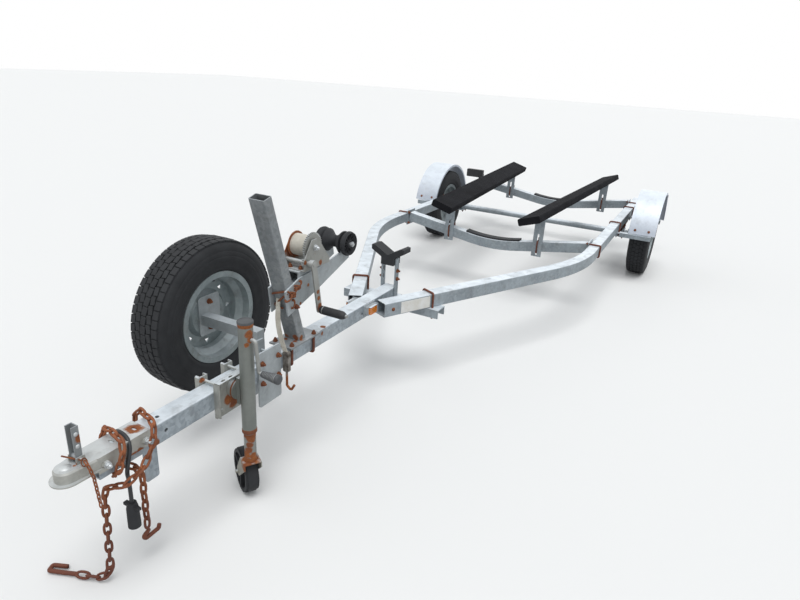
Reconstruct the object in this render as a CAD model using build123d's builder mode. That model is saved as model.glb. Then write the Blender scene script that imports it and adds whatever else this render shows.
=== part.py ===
from build123d import *
from math import asin, atan, atan2, ceil, cos, degrees, hypot, pi, radians, sin, sqrt, tan
import os

# A single-axle boat trailer parked on its swivel jack, in millimetres.
# X points to port, Y to the rear and Z up; the floor is z = 0 and the origin is midway along the trailer.

# Stations along the trailer, measured ahead of (or behind) the axle
ball_reach = 4055
coupler_reach = ball_reach + 38
axle_to_rail_end = 840
axle_y = (coupler_reach - axle_to_rail_end) / 2
rail_end_y = axle_y + axle_to_rail_end

bolt_radius = 4.75

# Square tube used for the tongue, rails and cross members
tube_size = 63.5
tongue_wall = 4.8
rail_wall = 3.2
tongue_top = 423
rail_drop = 6
rail_top = tongue_top - rail_drop
tongue_bottom = tongue_top - tube_size
tongue_axis_z = tongue_top - tube_size / 2
rail_axis_z = rail_top - tube_size / 2
rail_bottom = rail_top - tube_size
half_tube = tube_size / 2
wrap = half_tube + bolt_radius + 0.2
hole_gap = 0.5
tube_corner = 5
tongue_front_y = axle_y - 3992
tongue_rear_y = axle_y - 2456

# Rails: parallel beside the wheels, bent inwards to meet the tongue
wheel_x = 837
rail_track = 2 * wheel_x - 291
rail_axis_x = rail_track / 2 - half_tube
rail_inner_x = rail_track / 2 - tube_size
rail_bend_y = axle_y - 1464
rail_nose_y = axle_y - 2664
rail_nose_gap = 5
rail_bend_radius = 1100

# Wheels and tyres
tyre_radius = 283
tyre_width = 145
axle_z = tyre_radius
rim_flange_radius = 169.5
rim_seat_radius = 152.5
rim_width = 124
rim_gauge = 3.5
hub_radius = 34
spindle_radius = 12.7
running_gap = 0.08
body_gap = 0.3

plate = 6
sheet = 2.5


def across(y):
    """Plane facing forward at station y, with X to port and Z up."""
    return Plane(origin=(0, y, 0), x_dir=(1, 0, 0), z_dir=(0, -1, 0))


def beside(x):
    """Plane facing port at x, with its own x along the trailer and its y up."""
    return Plane(origin=(x, 0, 0), x_dir=(0, 1, 0), z_dir=(1, 0, 0))


def tube_section(wall):
    """Square tube in the sketch being drawn, centred on the current location."""
    RectangleRounded(tube_size, tube_size, tube_corner)
    RectangleRounded(tube_size - 2 * wall, tube_size - 2 * wall, tube_corner - wall + 0.5, mode=Mode.SUBTRACT)


def finish(piece, label):
    """Name a finished piece and write it out."""
    piece.part.label = label
    export_step(piece.part, f"parts/{label}.step")


def u_bolt(plane, span, reach, bar=bolt_radius, bend=9):
    """Bent round bar in a plane: legs from y = 0 to a flat crown at y = reach, span between bar centres."""
    with BuildLine(plane) as bent:
        FilletPolyline((-span / 2, 0), (-span / 2, reach), (span / 2, reach), (span / 2, 0), radius=bend)
    with BuildSketch(Plane(origin=bent.line @ 0, z_dir=bent.line % 0)) as section:
        Circle(bar)
    sweep(section.sketch, path=bent.line)


os.makedirs("parts", exist_ok=True)
sides = (("port", 1), ("starboard", -1))

# Tongue: one straight tube with its bolt and wiring holes
tongue_hole_y = axle_y - 3787
wire_hole_y = rail_nose_y - 99
with BuildPart() as tongue:
    with BuildSketch(across(tongue_front_y)):
        with Locations((0, tongue_axis_z)):
            tube_section(tongue_wall)
    extrude(amount=-(tongue_rear_y - tongue_front_y))
    with BuildSketch(Plane.XY.offset(tongue_top)):
        with Locations((0, tongue_hole_y)):
            Circle(6)
    extrude(amount=-2 * tongue_wall, mode=Mode.SUBTRACT)
    with BuildSketch(beside(half_tube)):
        with Locations((tongue_hole_y, tongue_axis_z), (wire_hole_y, tongue_axis_z - 6)):
            Circle(6)
    extrude(amount=-2 * tongue_wall, mode=Mode.SUBTRACT)
    with BuildSketch(beside(16)):
        with Locations((axle_y - 3836, tongue_bottom - 50)):
            RectangleRounded(44, 108, 8)
    extrude(amount=4)
finish(tongue, "tongue")

# Rails: swept square tube, square cut where the nose meets the tongue
rail_angle = atan2(rail_axis_x, rail_bend_y - rail_nose_y)
for _ in range(8):
    rail_nose_x = half_tube + rail_nose_gap + half_tube * cos(rail_angle)
    rail_angle = atan2(rail_axis_x - rail_nose_x, rail_bend_y - rail_nose_y)
for side, sign in sides:
    with BuildPart() as rail:
        with BuildLine(Plane.XY.offset(rail_axis_z)) as run:
            FilletPolyline(
                (sign * rail_nose_x, rail_nose_y),
                (sign * rail_axis_x, rail_bend_y),
                (sign * rail_axis_x, rail_end_y),
                radius=rail_bend_radius,
            )
        with BuildSketch(Plane(origin=run.line @ 0, x_dir=(0, 0, 1), z_dir=run.line % 0)):
            tube_section(rail_wall)
        sweep()
    finish(rail, f"rail_{side}")

# Cross members: the same tube bent to a shallow V, between plates on the rails
cross_slope = 9.0
cross_bend_radius = 1000
cross_bolt_offset = half_tube + 11
cross_plate_length = 2 * cross_bolt_offset + 30
cross_plate_height = tube_size + 36
# name, distance ahead of the axle, height of its ends above the rails
cross_members = (("front", 1040, 5), ("rear", -580, 15))
cross_end_x = rail_inner_x - plate - half_tube * sin(radians(cross_slope))


def cross_axis_z(x, lift):
    """Height of a cross member's axis at x, along its straight arms."""
    return rail_axis_z + lift - (cross_end_x - abs(x)) * tan(radians(cross_slope))


for name, ahead, lift in cross_members:
    with BuildPart() as cross:
        with BuildLine(across(axle_y - ahead)) as run:
            FilletPolyline(
                (-cross_end_x, rail_axis_z + lift),
                (0, cross_axis_z(0, lift)),
                (cross_end_x, rail_axis_z + lift),
                radius=cross_bend_radius,
            )
        with BuildSketch(Plane(origin=run.line @ 0, x_dir=(0, 1, 0), z_dir=run.line % 0)):
            tube_section(rail_wall)
        sweep()
    finish(cross, f"crossmember_{name}")

with BuildPart() as cross_plates:
    for name, ahead, lift in cross_members:
        for sign in (1, -1):
            with BuildSketch(beside(sign * (rail_inner_x - plate))):
                with Locations((axle_y - ahead, rail_axis_z)):
                    RectangleRounded(cross_plate_length, cross_plate_height, 6)
                with Locations(
                    (axle_y - ahead - cross_bolt_offset, rail_axis_z - wrap),
                    (axle_y - ahead - cross_bolt_offset, rail_axis_z + wrap),
                ):
                    Circle(bolt_radius + hole_gap, mode=Mode.SUBTRACT)
            extrude(amount=sign * plate)
finish(cross_plates, "crossmember_plates")

# Rubber strips bonded to the hollow of each cross member
pad_half_length = 185
pad_thickness = 11
cross_bend_top = cross_bend_radius - half_tube
with BuildPart() as keel_pads:
    for name, ahead, lift in cross_members:
        bend_z = cross_axis_z(0, lift) + cross_bend_radius / cos(radians(cross_slope))
        pad_top = cross_bend_top - pad_thickness
        with BuildSketch(across(axle_y - ahead - half_tube + 4)):
            with BuildLine():
                low = ThreePointArc(
                    (-pad_half_length, bend_z - sqrt(cross_bend_top**2 - pad_half_length**2)),
                    (0, bend_z - cross_bend_top),
                    (pad_half_length, bend_z - sqrt(cross_bend_top**2 - pad_half_length**2)),
                )
                high = ThreePointArc(
                    (-pad_half_length, bend_z - sqrt(pad_top**2 - pad_half_length**2)),
                    (0, bend_z - pad_top),
                    (pad_half_length, bend_z - sqrt(pad_top**2 - pad_half_length**2)),
                )
                Line(low @ 0, high @ 0)
                Line(low @ 1, high @ 1)
            make_face()
        extrude(amount=-(tube_size - 8))
finish(keel_pads, "keel_pads")

# Channel under the rail noses that carries the end of the tongue
channel_y = axle_y - 2432
channel_length = 500
channel_width = 76
channel_depth = 40


def channel_bolt_plane(sign, z):
    """Level plane at height z where a rail crosses the channel, its x square to the rail."""
    share = (channel_y - rail_nose_y) / (rail_bend_y - rail_nose_y)
    x = rail_nose_x + share * (rail_axis_x - rail_nose_x)
    square = Vector(cos(rail_angle), -sign * sin(rail_angle), 0)
    return Plane(origin=(sign * x, channel_y, z), x_dir=square, z_dir=(0, 0, 1))


with BuildPart() as channel:
    with BuildSketch(beside(-channel_length / 2)):
        with Locations((channel_y, rail_bottom - channel_depth / 2)):
            Rectangle(channel_width, channel_depth)
        with Locations((channel_y, rail_bottom - (channel_depth + plate) / 2)):
            Rectangle(channel_width - 2 * plate, channel_depth - plate, mode=Mode.SUBTRACT)
    extrude(amount=channel_length)
    with BuildSketch(Plane.XY.offset(rail_bottom)):
        with Locations((0, channel_y)):
            Rectangle(tube_size - 10, channel_width)
    extrude(amount=rail_drop)
    for sign in (1, -1):
        with BuildSketch(channel_bolt_plane(sign, rail_bottom)):
            with GridLocations(2 * wrap, 0, 2, 1):
                Circle(bolt_radius + hole_gap)
        extrude(amount=-plate, mode=Mode.SUBTRACT)
finish(channel, "tongue_channel")

# Axle: round tube with a stub spindle at each end
axle_radius = 22.25
axle_half = wheel_x - 122
spindle_end = wheel_x + 34
with BuildPart() as axle:
    with BuildSketch(beside(-axle_half)):
        with Locations((axle_y, axle_z)):
            Circle(axle_radius)
            Circle(axle_radius - 5, mode=Mode.SUBTRACT)
    extrude(amount=2 * axle_half)
    for sign in (1, -1):
        with BuildSketch(beside(sign * (axle_half - 40))):
            with Locations((axle_y, axle_z)):
                Circle(axle_radius - 5)
        extrude(amount=sign * 40)
        with BuildSketch(beside(sign * axle_half)):
            with Locations((axle_y, axle_z)):
                Circle(spindle_radius)
        extrude(amount=sign * (spindle_end - axle_half))
finish(axle, "axle")

# Leaf springs between the rails and the axle
leaf_width = 45
leaf_gauge = 7
leaf_rise = 14
saddle = 4
leaf_bottom = axle_z + axle_radius + saddle
# half length, leaves above the saddle
leaves = ((150, 0), (240, 1), (340, 2))
spring_half = leaves[-1][0]
with BuildPart() as springs:
    for sign in (1, -1):
        for half, level in leaves:
            floor_z = leaf_bottom + level * leaf_gauge
            tip_rise = leaf_rise * (half / spring_half) ** 2
            with BuildSketch(beside(sign * rail_axis_x - leaf_width / 2)):
                with BuildLine():
                    low = ThreePointArc(
                        (axle_y - half, floor_z + tip_rise), (axle_y, floor_z), (axle_y + half, floor_z + tip_rise)
                    )
                    high = ThreePointArc(
                        (axle_y - half, floor_z + tip_rise + leaf_gauge),
                        (axle_y, floor_z + leaf_gauge),
                        (axle_y + half, floor_z + tip_rise + leaf_gauge),
                    )
                    Line(low @ 0, high @ 0)
                    Line(low @ 1, high @ 1)
                make_face()
            extrude(amount=leaf_width)
finish(springs, "leaf_springs")

# Hangers under the rails hold the spring ends
hanger_wall = 5
hanger_length = 70
hanger_plate_width = tube_size + 28
spring_end_z = leaf_bottom + (len(leaves) - 1) * leaf_gauge + leaf_rise
with BuildPart() as hangers:
    for sign in (1, -1):
        for end in (1, -1):
            hanger_y = axle_y + end * (spring_half - 12)
            with BuildSketch(Plane(origin=(sign * rail_axis_x, hanger_y, 0), x_dir=(1, 0, 0), z_dir=(0, -1, 0))):
                with Locations((0, rail_bottom - hanger_wall / 2)):
                    Rectangle(hanger_plate_width, hanger_wall)
                for wall in (1, -1):
                    with Locations((wall * (leaf_width / 2 + body_gap + hanger_wall / 2), (rail_bottom + spring_end_z) / 2 - 8)):
                        Rectangle(hanger_wall, rail_bottom - spring_end_z + 16)
            extrude(amount=hanger_length / 2, both=True)
            with BuildSketch(Plane.XY.offset(rail_bottom)):
                with Locations((sign * rail_axis_x - wrap, hanger_y), (sign * rail_axis_x + wrap, hanger_y)):
                    Circle(bolt_radius + hole_gap)
            extrude(amount=-hanger_wall, mode=Mode.SUBTRACT)
            with BuildSketch(beside(sign * rail_axis_x - leaf_width / 2 - body_gap - hanger_wall)):
                with Locations((hanger_y, spring_end_z - 8)):
                    Circle(6)
            extrude(amount=leaf_width + 2 * body_gap + 2 * hanger_wall)
finish(hangers, "spring_hangers")

# Spring plates and U-bolts tie each spring to the axle
clamp_spread = 32
with BuildPart() as axle_clamps:
    for sign in (1, -1):
        with BuildSketch(Plane.XY.offset(axle_z - axle_radius - plate)):
            with Locations((sign * rail_axis_x, axle_y)):
                Rectangle(leaf_width + 30, 2 * clamp_spread + 24)
        extrude(amount=plate)
        with BuildSketch(Plane.XY.offset(axle_z + axle_radius)):
            with Locations((sign * rail_axis_x, axle_y)):
                Rectangle(leaf_width + 30, 2 * clamp_spread + 24)
        extrude(amount=saddle)
        for end in (1, -1):
            for leg in (1, -1):
                with Locations((sign * rail_axis_x + leg * (leaf_width / 2 + 7), axle_y + end * clamp_spread, 0)):
                    with Locations((0, 0, (axle_z - axle_radius - plate + leaf_bottom + 3 * leaf_gauge) / 2)):
                        Cylinder(5, leaf_bottom + 3 * leaf_gauge - axle_z + axle_radius + plate + 10)
finish(axle_clamps, "axle_clamps")

# Fenders: rolled sheet with turned edges, over each wheel
fender_radius = 338
fender_inner_x = 758.5
fender_width = 179
fender_lip = 16
fender_end_angle = degrees(asin((rail_bottom - axle_z) / (fender_radius - fender_lip)))
for side, sign in sides:
    with BuildPart() as fender:
        with BuildSketch(across(axle_y)):
            with Locations((sign * (fender_inner_x + fender_width / 2), axle_z + fender_radius - fender_lip / 2)):
                Rectangle(fender_width, fender_lip)
            with Locations((sign * (fender_inner_x + fender_width / 2), axle_z + fender_radius - (fender_lip + sheet) / 2)):
                Rectangle(fender_width - 2 * sheet, fender_lip - sheet, mode=Mode.SUBTRACT)
        revolve(axis=Axis((0, axle_y, axle_z), (1, 0, 0)), revolution_arc=90 - fender_end_angle)
        mirror(about=Plane.XZ.offset(-axle_y))
    finish(fender, f"fender_{side}")

# Fender arms: channels under the rails that carry both ends of each fender
arm_depth = 30
arm_width = 46
arm_reach = fender_inner_x + fender_width - 24
arm_root_x = rail_axis_x + hanger_plate_width / 2
with BuildPart() as fender_arms:
    for sign in (1, -1):
        for end in (1, -1):
            arm_y = axle_y + end * (fender_radius * cos(radians(fender_end_angle)) - 8)
            with BuildSketch(beside(sign * arm_root_x)):
                with Locations((arm_y, rail_bottom - arm_depth / 2)):
                    Rectangle(arm_width, arm_depth)
                with Locations((arm_y, rail_bottom - (arm_depth + 4) / 2)):
                    Rectangle(arm_width - 8, arm_depth - 4, mode=Mode.SUBTRACT)
            extrude(amount=sign * (arm_reach - arm_root_x))
finish(fender_arms, "fender_arms")


# Wheels: dished steel rims with their hubs, and the tyres on them
rim_drop = 20
disc_gauge = 5
disc_x = 4
disc_bore = 30
disc_flat_radius = 76
rim_windows = 8
window_size = 24
hub_flange_radius = 58
hub_inner_x = axle_half + 6 - wheel_x
hub_cap_x = spindle_end + 12 - wheel_x
rim_half = rim_width / 2


def wheel_plane(x, y, z):
    """Section plane through a wheel's centre: its x runs to port and its y upwards."""
    return Plane(origin=(x, y, z), x_dir=(1, 0, 0), z_dir=(0, -1, 0))


def wheel_rim(x, y, z):
    """Rolled rim and pressed disc, turned about the wheel's axis."""
    seat = rim_seat_radius
    inner = seat - rim_gauge
    with BuildSketch(wheel_plane(x, y, z)) as section:
        with BuildLine():
            Polyline(
                (-rim_half, rim_flange_radius),
                (rim_gauge - rim_half, rim_flange_radius),
                (rim_gauge - rim_half, seat),
                (30 - rim_half, seat - 2),
                (40 - rim_half, seat - rim_drop),
                (rim_half - 50, seat - rim_drop),
                (rim_half - 30, seat - 2),
                (rim_half - rim_gauge, seat),
                (rim_half - rim_gauge, rim_flange_radius),
                (rim_half, rim_flange_radius),
                (rim_half, inner),
                (rim_half - 29, inner - 2),
                (rim_half - 49, inner - rim_drop),
                (39 - rim_half, inner - rim_drop),
                (29 - rim_half, inner - 2),
                (-rim_half, inner),
                close=True,
            )
        make_face()
        with BuildLine():
            Polyline(
                (disc_x, disc_bore),
                (disc_x, disc_flat_radius),
                (disc_x - 16, disc_flat_radius + 14),
                (disc_x - 16, inner - rim_drop + 1),
                (disc_x - 16 - disc_gauge, inner - rim_drop + 1),
                (disc_x - 16 - disc_gauge, disc_flat_radius + 11),
                (disc_x - disc_gauge, disc_flat_radius - 2),
                (disc_x - disc_gauge, disc_bore),
                close=True,
            )
        make_face()
    revolve(section.sketch, axis=Axis((x, y, z), (1, 0, 0)))
    window_radius = (disc_flat_radius + 14 + inner - rim_drop) / 2
    with BuildSketch(Plane(origin=(x + disc_x, y, z), x_dir=(0, 1, 0), z_dir=(1, 0, 0))) as windows:
        with PolarLocations(window_radius, rim_windows):
            RegularPolygon(window_size / 2, 3)
    extrude(windows.sketch, amount=-40, mode=Mode.SUBTRACT)


def wheel_tyre(x, y, z):
    """Tyre in section: beads on the rim, bulged walls and a slightly domed tread."""
    bead_x = rim_half - rim_gauge - body_gap
    bead = rim_seat_radius + body_gap
    wall_x = tyre_width / 2
    wall = (rim_flange_radius + tyre_radius) / 2 - 4
    shoulder_x = wall_x - 15
    shoulder = tyre_radius - 5
    with BuildSketch(wheel_plane(x, y, z)) as section:
        with BuildLine():
            Polyline((-bead_x, rim_flange_radius), (-bead_x, bead), (bead_x, bead), (bead_x, rim_flange_radius))
            ThreePointArc((bead_x, rim_flange_radius), (wall_x, wall), (shoulder_x, shoulder))
            ThreePointArc((shoulder_x, shoulder), (0, tyre_radius), (-shoulder_x, shoulder))
            ThreePointArc((-shoulder_x, shoulder), (-wall_x, wall), (-bead_x, rim_flange_radius))
        make_face()
    revolve(section.sketch, axis=Axis((x, y, z), (1, 0, 0)))


with BuildPart() as wheel:
    wheel_rim(wheel_x, axle_y, axle_z)
    with BuildSketch(beside(wheel_x + hub_inner_x)):
        with Locations((axle_y, axle_z)):
            Circle(hub_radius)
    extrude(amount=hub_cap_x - hub_inner_x)
    with BuildSketch(beside(wheel_x + disc_x - disc_gauge)):
        with Locations((axle_y, axle_z)):
            Circle(hub_flange_radius)
    extrude(amount=-8)
    with BuildSketch(beside(wheel_x + hub_inner_x)):
        with Locations((axle_y, axle_z)):
            Circle(spindle_radius + running_gap)
    extrude(amount=spindle_end + body_gap - wheel_x - hub_inner_x, mode=Mode.SUBTRACT)
finish(wheel, "wheel_port")
with BuildPart() as opposite_wheel:
    mirror(wheel.part, about=Plane.YZ)
finish(opposite_wheel, "wheel_starboard")
for side, sign in sides:
    with BuildPart() as tyre:
        wheel_tyre(sign * wheel_x, axle_y, axle_z)
    finish(tyre, f"tyre_{side}")

# Spare wheel, standing beside the tongue on its carrier
spare_x = -302
spare_y = axle_y - 3293
spare_z = 488
with BuildPart() as spare_rim:
    wheel_rim(spare_x, spare_y, spare_z)
finish(spare_rim, "spare_rim")
with BuildPart() as spare_tyre:
    wheel_tyre(spare_x, spare_y, spare_z)
finish(spare_tyre, "spare_tyre")

# Spare carrier: hub plate, square arm and two tall plates clamped on the tongue
carrier_arm = 38
carrier_plate_x = spare_x + disc_x
carrier_clamp_y = axle_y - 3358
carrier_clamp_width = 112
carrier_clamp_top = 468
carrier_clamp_bottom = 268
with BuildPart() as carrier:
    with BuildSketch(beside(carrier_plate_x)):
        with Locations((spare_y, spare_z)):
            RectangleRounded(100, 150, 12)
    extrude(amount=plate)
    with BuildSketch(beside(carrier_plate_x + plate)):
        with Locations((spare_y - 22, spare_z - 10)):
            Rectangle(carrier_arm, carrier_arm)
    extrude(amount=-half_tube - plate - carrier_plate_x - plate)
    for wall in (-half_tube - plate, half_tube):
        with BuildSketch(beside(wall)):
            with Locations((carrier_clamp_y, (carrier_clamp_top + carrier_clamp_bottom) / 2)):
                RectangleRounded(carrier_clamp_width, carrier_clamp_top - carrier_clamp_bottom, 8)
        extrude(amount=plate)
    with BuildSketch(beside(-half_tube - 12)):
        with Locations(
            (carrier_clamp_y - 40, tongue_top + bolt_radius),
            (carrier_clamp_y + 40, tongue_top + bolt_radius),
            (carrier_clamp_y - 40, tongue_bottom - bolt_radius),
            (carrier_clamp_y + 40, tongue_bottom - bolt_radius),
        ):
            Circle(bolt_radius)
    extrude(amount=2 * half_tube + 2 * plate + 12)
finish(carrier, "spare_carrier")

# Bunks: carpeted boards, tipped inwards, on slotted brackets
bunk_width = 140
bunk_thickness = 44
bunk_tilt = 18
bunk_front = (295, axle_y - 1283, 525)
bunk_rear = (422, axle_y + 750, 546)
bracket_width = 63
bracket_gauge = 6
bracket_drop = 62


def bunk_plane(sign):
    """Plane at a bunk's front end, under its board: x across it and z along it."""
    front = Vector(sign * bunk_front[0], bunk_front[1], bunk_front[2])
    rear = Vector(sign * bunk_rear[0], bunk_rear[1], bunk_rear[2])
    along = (rear - front).normalized()
    tilted = Vector(cos(radians(bunk_tilt)), 0, sign * sin(radians(bunk_tilt)))
    return Plane(origin=front, x_dir=(tilted - along * tilted.dot(along)).normalized(), z_dir=along)


def bunk_spot(sign, y):
    """Point on a bunk's underside centre line at station y."""
    share = (y - bunk_front[1]) / (bunk_rear[1] - bunk_front[1])
    return (
        sign * (bunk_front[0] + share * (bunk_rear[0] - bunk_front[0])),
        y,
        bunk_front[2] + share * (bunk_rear[2] - bunk_front[2]),
    )


for side, sign in sides:
    board = bunk_plane(sign)
    up = 1 if board.y_dir.Z > 0 else -1
    with BuildPart() as bunk:
        with BuildSketch(board):
            with Locations((0, up * bunk_thickness / 2)):
                RectangleRounded(bunk_width, bunk_thickness, 9)
        extrude(amount=(Vector(*bunk_rear) - Vector(*bunk_front)).length)
    finish(bunk, f"bunk_{side}")

with BuildPart() as brackets:
    for sign in (1, -1):
        board = bunk_plane(sign)
        up = 1 if board.y_dir.Z > 0 else -1
        for name, ahead, lift in cross_members:
            face_y = axle_y - ahead - half_tube
            spot = bunk_spot(sign, face_y - bracket_gauge / 2)
            foot_z = cross_axis_z(spot[0], lift) - bracket_drop
            under = Plane(origin=spot, x_dir=board.x_dir, z_dir=board.y_dir * up)
            with BuildSketch(across(face_y)):
                with BuildLine():
                    slope = tan(radians(bunk_tilt)) * sign
                    left = spot[0] - bracket_width / 2
                    right = spot[0] + bracket_width / 2
                    Polyline(
                        (left, foot_z),
                        (right, foot_z),
                        (right, spot[2] - 1 + slope * bracket_width / 2),
                        (left, spot[2] - 1 - slope * bracket_width / 2),
                        close=True,
                    )
                make_face()
                with Locations((spot[0], foot_z + 26)):
                    SlotOverall(34, 12, rotation=90, mode=Mode.SUBTRACT)
                with Locations((spot[0], cross_axis_z(spot[0], lift) + wrap + 20)):
                    SlotOverall(60, 12, rotation=90, mode=Mode.SUBTRACT)
            extrude(amount=bracket_gauge)
            with BuildSketch(under):
                Rectangle(bracket_width + 10, 60)
            extrude(amount=-bracket_gauge)
finish(brackets, "bunk_brackets")

# U-bolts that clamp the bunk brackets round the cross members
with BuildPart() as bunk_bolts:
    for sign in (1, -1):
        for name, ahead, lift in cross_members:
            face_y = axle_y - ahead - half_tube
            x = bunk_spot(sign, face_y)[0]
            z = cross_axis_z(x, lift)
            back_y = axle_y - ahead + half_tube
            back = Plane(origin=(x, back_y + 14, z), x_dir=(0, 0, 1), z_dir=(1, 0, 0))
            u_bolt(back, 2 * wrap + 2, 14 + tube_size + bracket_gauge + bolt_radius + 0.5)
            with BuildSketch(across(back_y + 5)):
                with Locations((x, z)):
                    Rectangle(30, 2 * wrap + 22)
            extrude(amount=4.5)

# U-bolts round the rails: at the channel, the cross members and the spring hangers
with BuildPart() as rail_bolts:
    for sign in (1, -1):
        drop = tube_size + channel_depth + 12
        foot = channel_bolt_plane(sign, rail_top - drop)
        u_bolt(Plane(origin=foot.origin, x_dir=foot.x_dir, z_dir=foot.x_dir.cross(Vector(0, 0, 1))), 2 * wrap, drop + bolt_radius + 0.2)
        for name, ahead, lift in cross_members:
            inside = Plane(
                origin=(sign * (rail_inner_x - plate - 14), axle_y - ahead - cross_bolt_offset, rail_axis_z),
                x_dir=(0, 0, 1),
                z_dir=(0, sign, 0),
            )
            u_bolt(inside, 2 * wrap, 14 + plate + tube_size + bolt_radius + 0.2)
        for end in (1, -1):
            over = Plane(
                origin=(sign * rail_axis_x, axle_y + end * (spring_half - 12), rail_bottom - hanger_wall - 16),
                x_dir=(1, 0, 0),
                z_dir=(0, -1, 0),
            )
            u_bolt(over, 2 * wrap, tube_size + hanger_wall + 16 + bolt_radius + 0.2)

# Keel block: a rubber V between two slotted posts at the tongue's rear end
keel_y = tongue_rear_y - 20
keel_depth = 64
keel_seat_z = 576
keel_tip_z = 612
keel_tip_x = 82
post_width = 32
post_gauge = 5
post_top = 560
post_bottom = tongue_bottom - 6
with BuildPart() as keel_block:
    with BuildSketch(across(keel_y - keel_depth / 2)):
        with BuildLine():
            Polyline(
                (-half_tube, keel_seat_z - 46),
                (half_tube, keel_seat_z - 46),
                (half_tube, keel_seat_z - 12),
                (keel_tip_x, keel_tip_z - 20),
                (keel_tip_x, keel_tip_z),
                (keel_tip_x - 14, keel_tip_z + 2),
                (0, keel_seat_z),
                (14 - keel_tip_x, keel_tip_z + 2),
                (-keel_tip_x, keel_tip_z),
                (-keel_tip_x, keel_tip_z - 20),
                (-half_tube, keel_seat_z - 12),
                close=True,
            )
        make_face()
    extrude(amount=-keel_depth)
finish(keel_block, "keel_block")
with BuildPart() as posts:
    for inner in (half_tube, -half_tube - post_gauge):
        with BuildSketch(beside(inner)):
            with Locations((keel_y, (post_top + post_bottom) / 2)):
                RectangleRounded(post_width, post_top - post_bottom, 5)
            with Locations((keel_y, tongue_top + 40), (keel_y, tongue_top + 78)):
                SlotOverall(30, 11, rotation=90, mode=Mode.SUBTRACT)
        extrude(amount=post_gauge)
finish(posts, "keel_posts")

# Winch mast: open tube leaning forward from a plate clamped to the tongue
mast_y = axle_y - 3174
mast_lean = 17.4
mast_width = 63.5
mast_depth = 38
mast_wall = 3
mast_length = 560
mast_foot_z = tongue_top + plate
mast_dir = Vector(0, -sin(radians(mast_lean)), cos(radians(mast_lean)))
mast_base_bolts = (-66, 62)
with BuildPart() as mast:
    with BuildSketch(Plane(origin=Vector(0, mast_y, mast_foot_z) - mast_dir * 20, x_dir=(1, 0, 0), z_dir=mast_dir)):
        RectangleRounded(mast_width, mast_depth, 4)
        RectangleRounded(mast_width - 2 * mast_wall, mast_depth - 2 * mast_wall, 1.5, mode=Mode.SUBTRACT)
    extrude(amount=mast_length + 20)
    split(bisect_by=Plane.XY.offset(mast_foot_z), keep=Keep.TOP)
    with BuildSketch(Plane.XY.offset(tongue_top)):
        with Locations((0, mast_y)):
            Rectangle(2 * wrap + 24, 170)
            for offset in mast_base_bolts:
                with Locations((-wrap, offset), (wrap, offset)):
                    Circle(bolt_radius + hole_gap, mode=Mode.SUBTRACT)
    extrude(amount=plate)
finish(mast, "mast")
with BuildPart() as mast_bolts:
    for offset in mast_base_bolts:
        legs = Plane(origin=(0, mast_y + offset, tongue_top + plate + 12), x_dir=(1, 0, 0), z_dir=(0, 1, 0))
        u_bolt(legs, 2 * wrap, tube_size + plate + 12 + bolt_radius + 0.2)
with BuildPart() as u_bolts:
    add(Compound([bunk_bolts.part, rail_bolts.part, mast_bolts.part]))
finish(u_bolts, "u_bolts")

# Winch arm: two tapered plates bolted to the mast, with a boxed seat between them
winch_y = axle_y - 3119
winch_z = 761
roller_y = axle_y - 2922
roller_z = 733
arm_gauge = 6
roller_bolt_radius = 6
box_rear_y = axle_y - 3030
box_front_y = axle_y - 3196
box_top = 688
box_height = 48
with BuildPart() as winch_arm:
    for inner in (half_tube, -half_tube - arm_gauge):
        with BuildSketch(beside(inner)):
            with BuildLine():
                Polyline(
                    (axle_y - 3259, 548),
                    (axle_y - 3089, 598),
                    (roller_y + 36, 668),
                    (roller_y + 22, roller_z + 4),
                    (roller_y, roller_z + 18),
                    (roller_y - 20, roller_z + 2),
                    (roller_y - 24, box_top + 12),
                    (axle_y - 3018, box_top),
                    (box_front_y, box_top - 20),
                    (axle_y - 3272, 640),
                    close=True,
                )
            make_face()
        extrude(amount=arm_gauge)
    with BuildSketch(across(box_front_y)):
        with Locations((0, box_top - box_height / 2)):
            Rectangle(tube_size, box_height)
            Rectangle(tube_size - 8, box_height - 8, mode=Mode.SUBTRACT)
    extrude(amount=-(box_rear_y - box_front_y))
    with BuildSketch(beside(-half_tube - arm_gauge)):
        with Locations((roller_y, roller_z)):
            Circle(roller_bolt_radius)
    extrude(amount=tube_size + 2 * arm_gauge)
finish(winch_arm, "winch_arm")

# Winch: folded base with two cheeks, drum and gear on one shaft, pinion and crank on the other
winch_cheek_x = 44
cheek_gauge = 3
winch_base_z = box_top + 3
gear_module = 2.476
gear_teeth = 40
pinion_teeth = 10
gear_width = 8
gear_x = 30
pinion_reach = gear_module * (gear_teeth + pinion_teeth) / 2 + 0.5
crank_y = winch_y - pinion_reach * 0.66
crank_z = winch_z - pinion_reach * 0.751
drum_shaft_radius = 7
crank_shaft_radius = 8
pin_gap = 0.3


def gear_outline(teeth, module, x, y, z, turn):
    """Gear profile in a sketch facing port, one tooth centred at angle turn from the rear."""
    pitch_radius = teeth * module / 2
    step = 360 / teeth
    rim = []
    for tooth in range(teeth):
        middle = turn + tooth * step
        for share, radius in ((-0.3, -1.2), (-0.14, 1), (0.14, 1), (0.3, -1.2)):
            angle = radians(middle + share * step)
            rim.append(((pitch_radius + radius * module) * cos(angle), (pitch_radius + radius * module) * sin(angle)))
    with BuildSketch(Plane(origin=(x, y, z), x_dir=(0, 1, 0), z_dir=(1, 0, 0))) as outline:
        with BuildLine():
            Polyline(*rim, close=True)
        make_face()
    return outline.sketch


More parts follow.
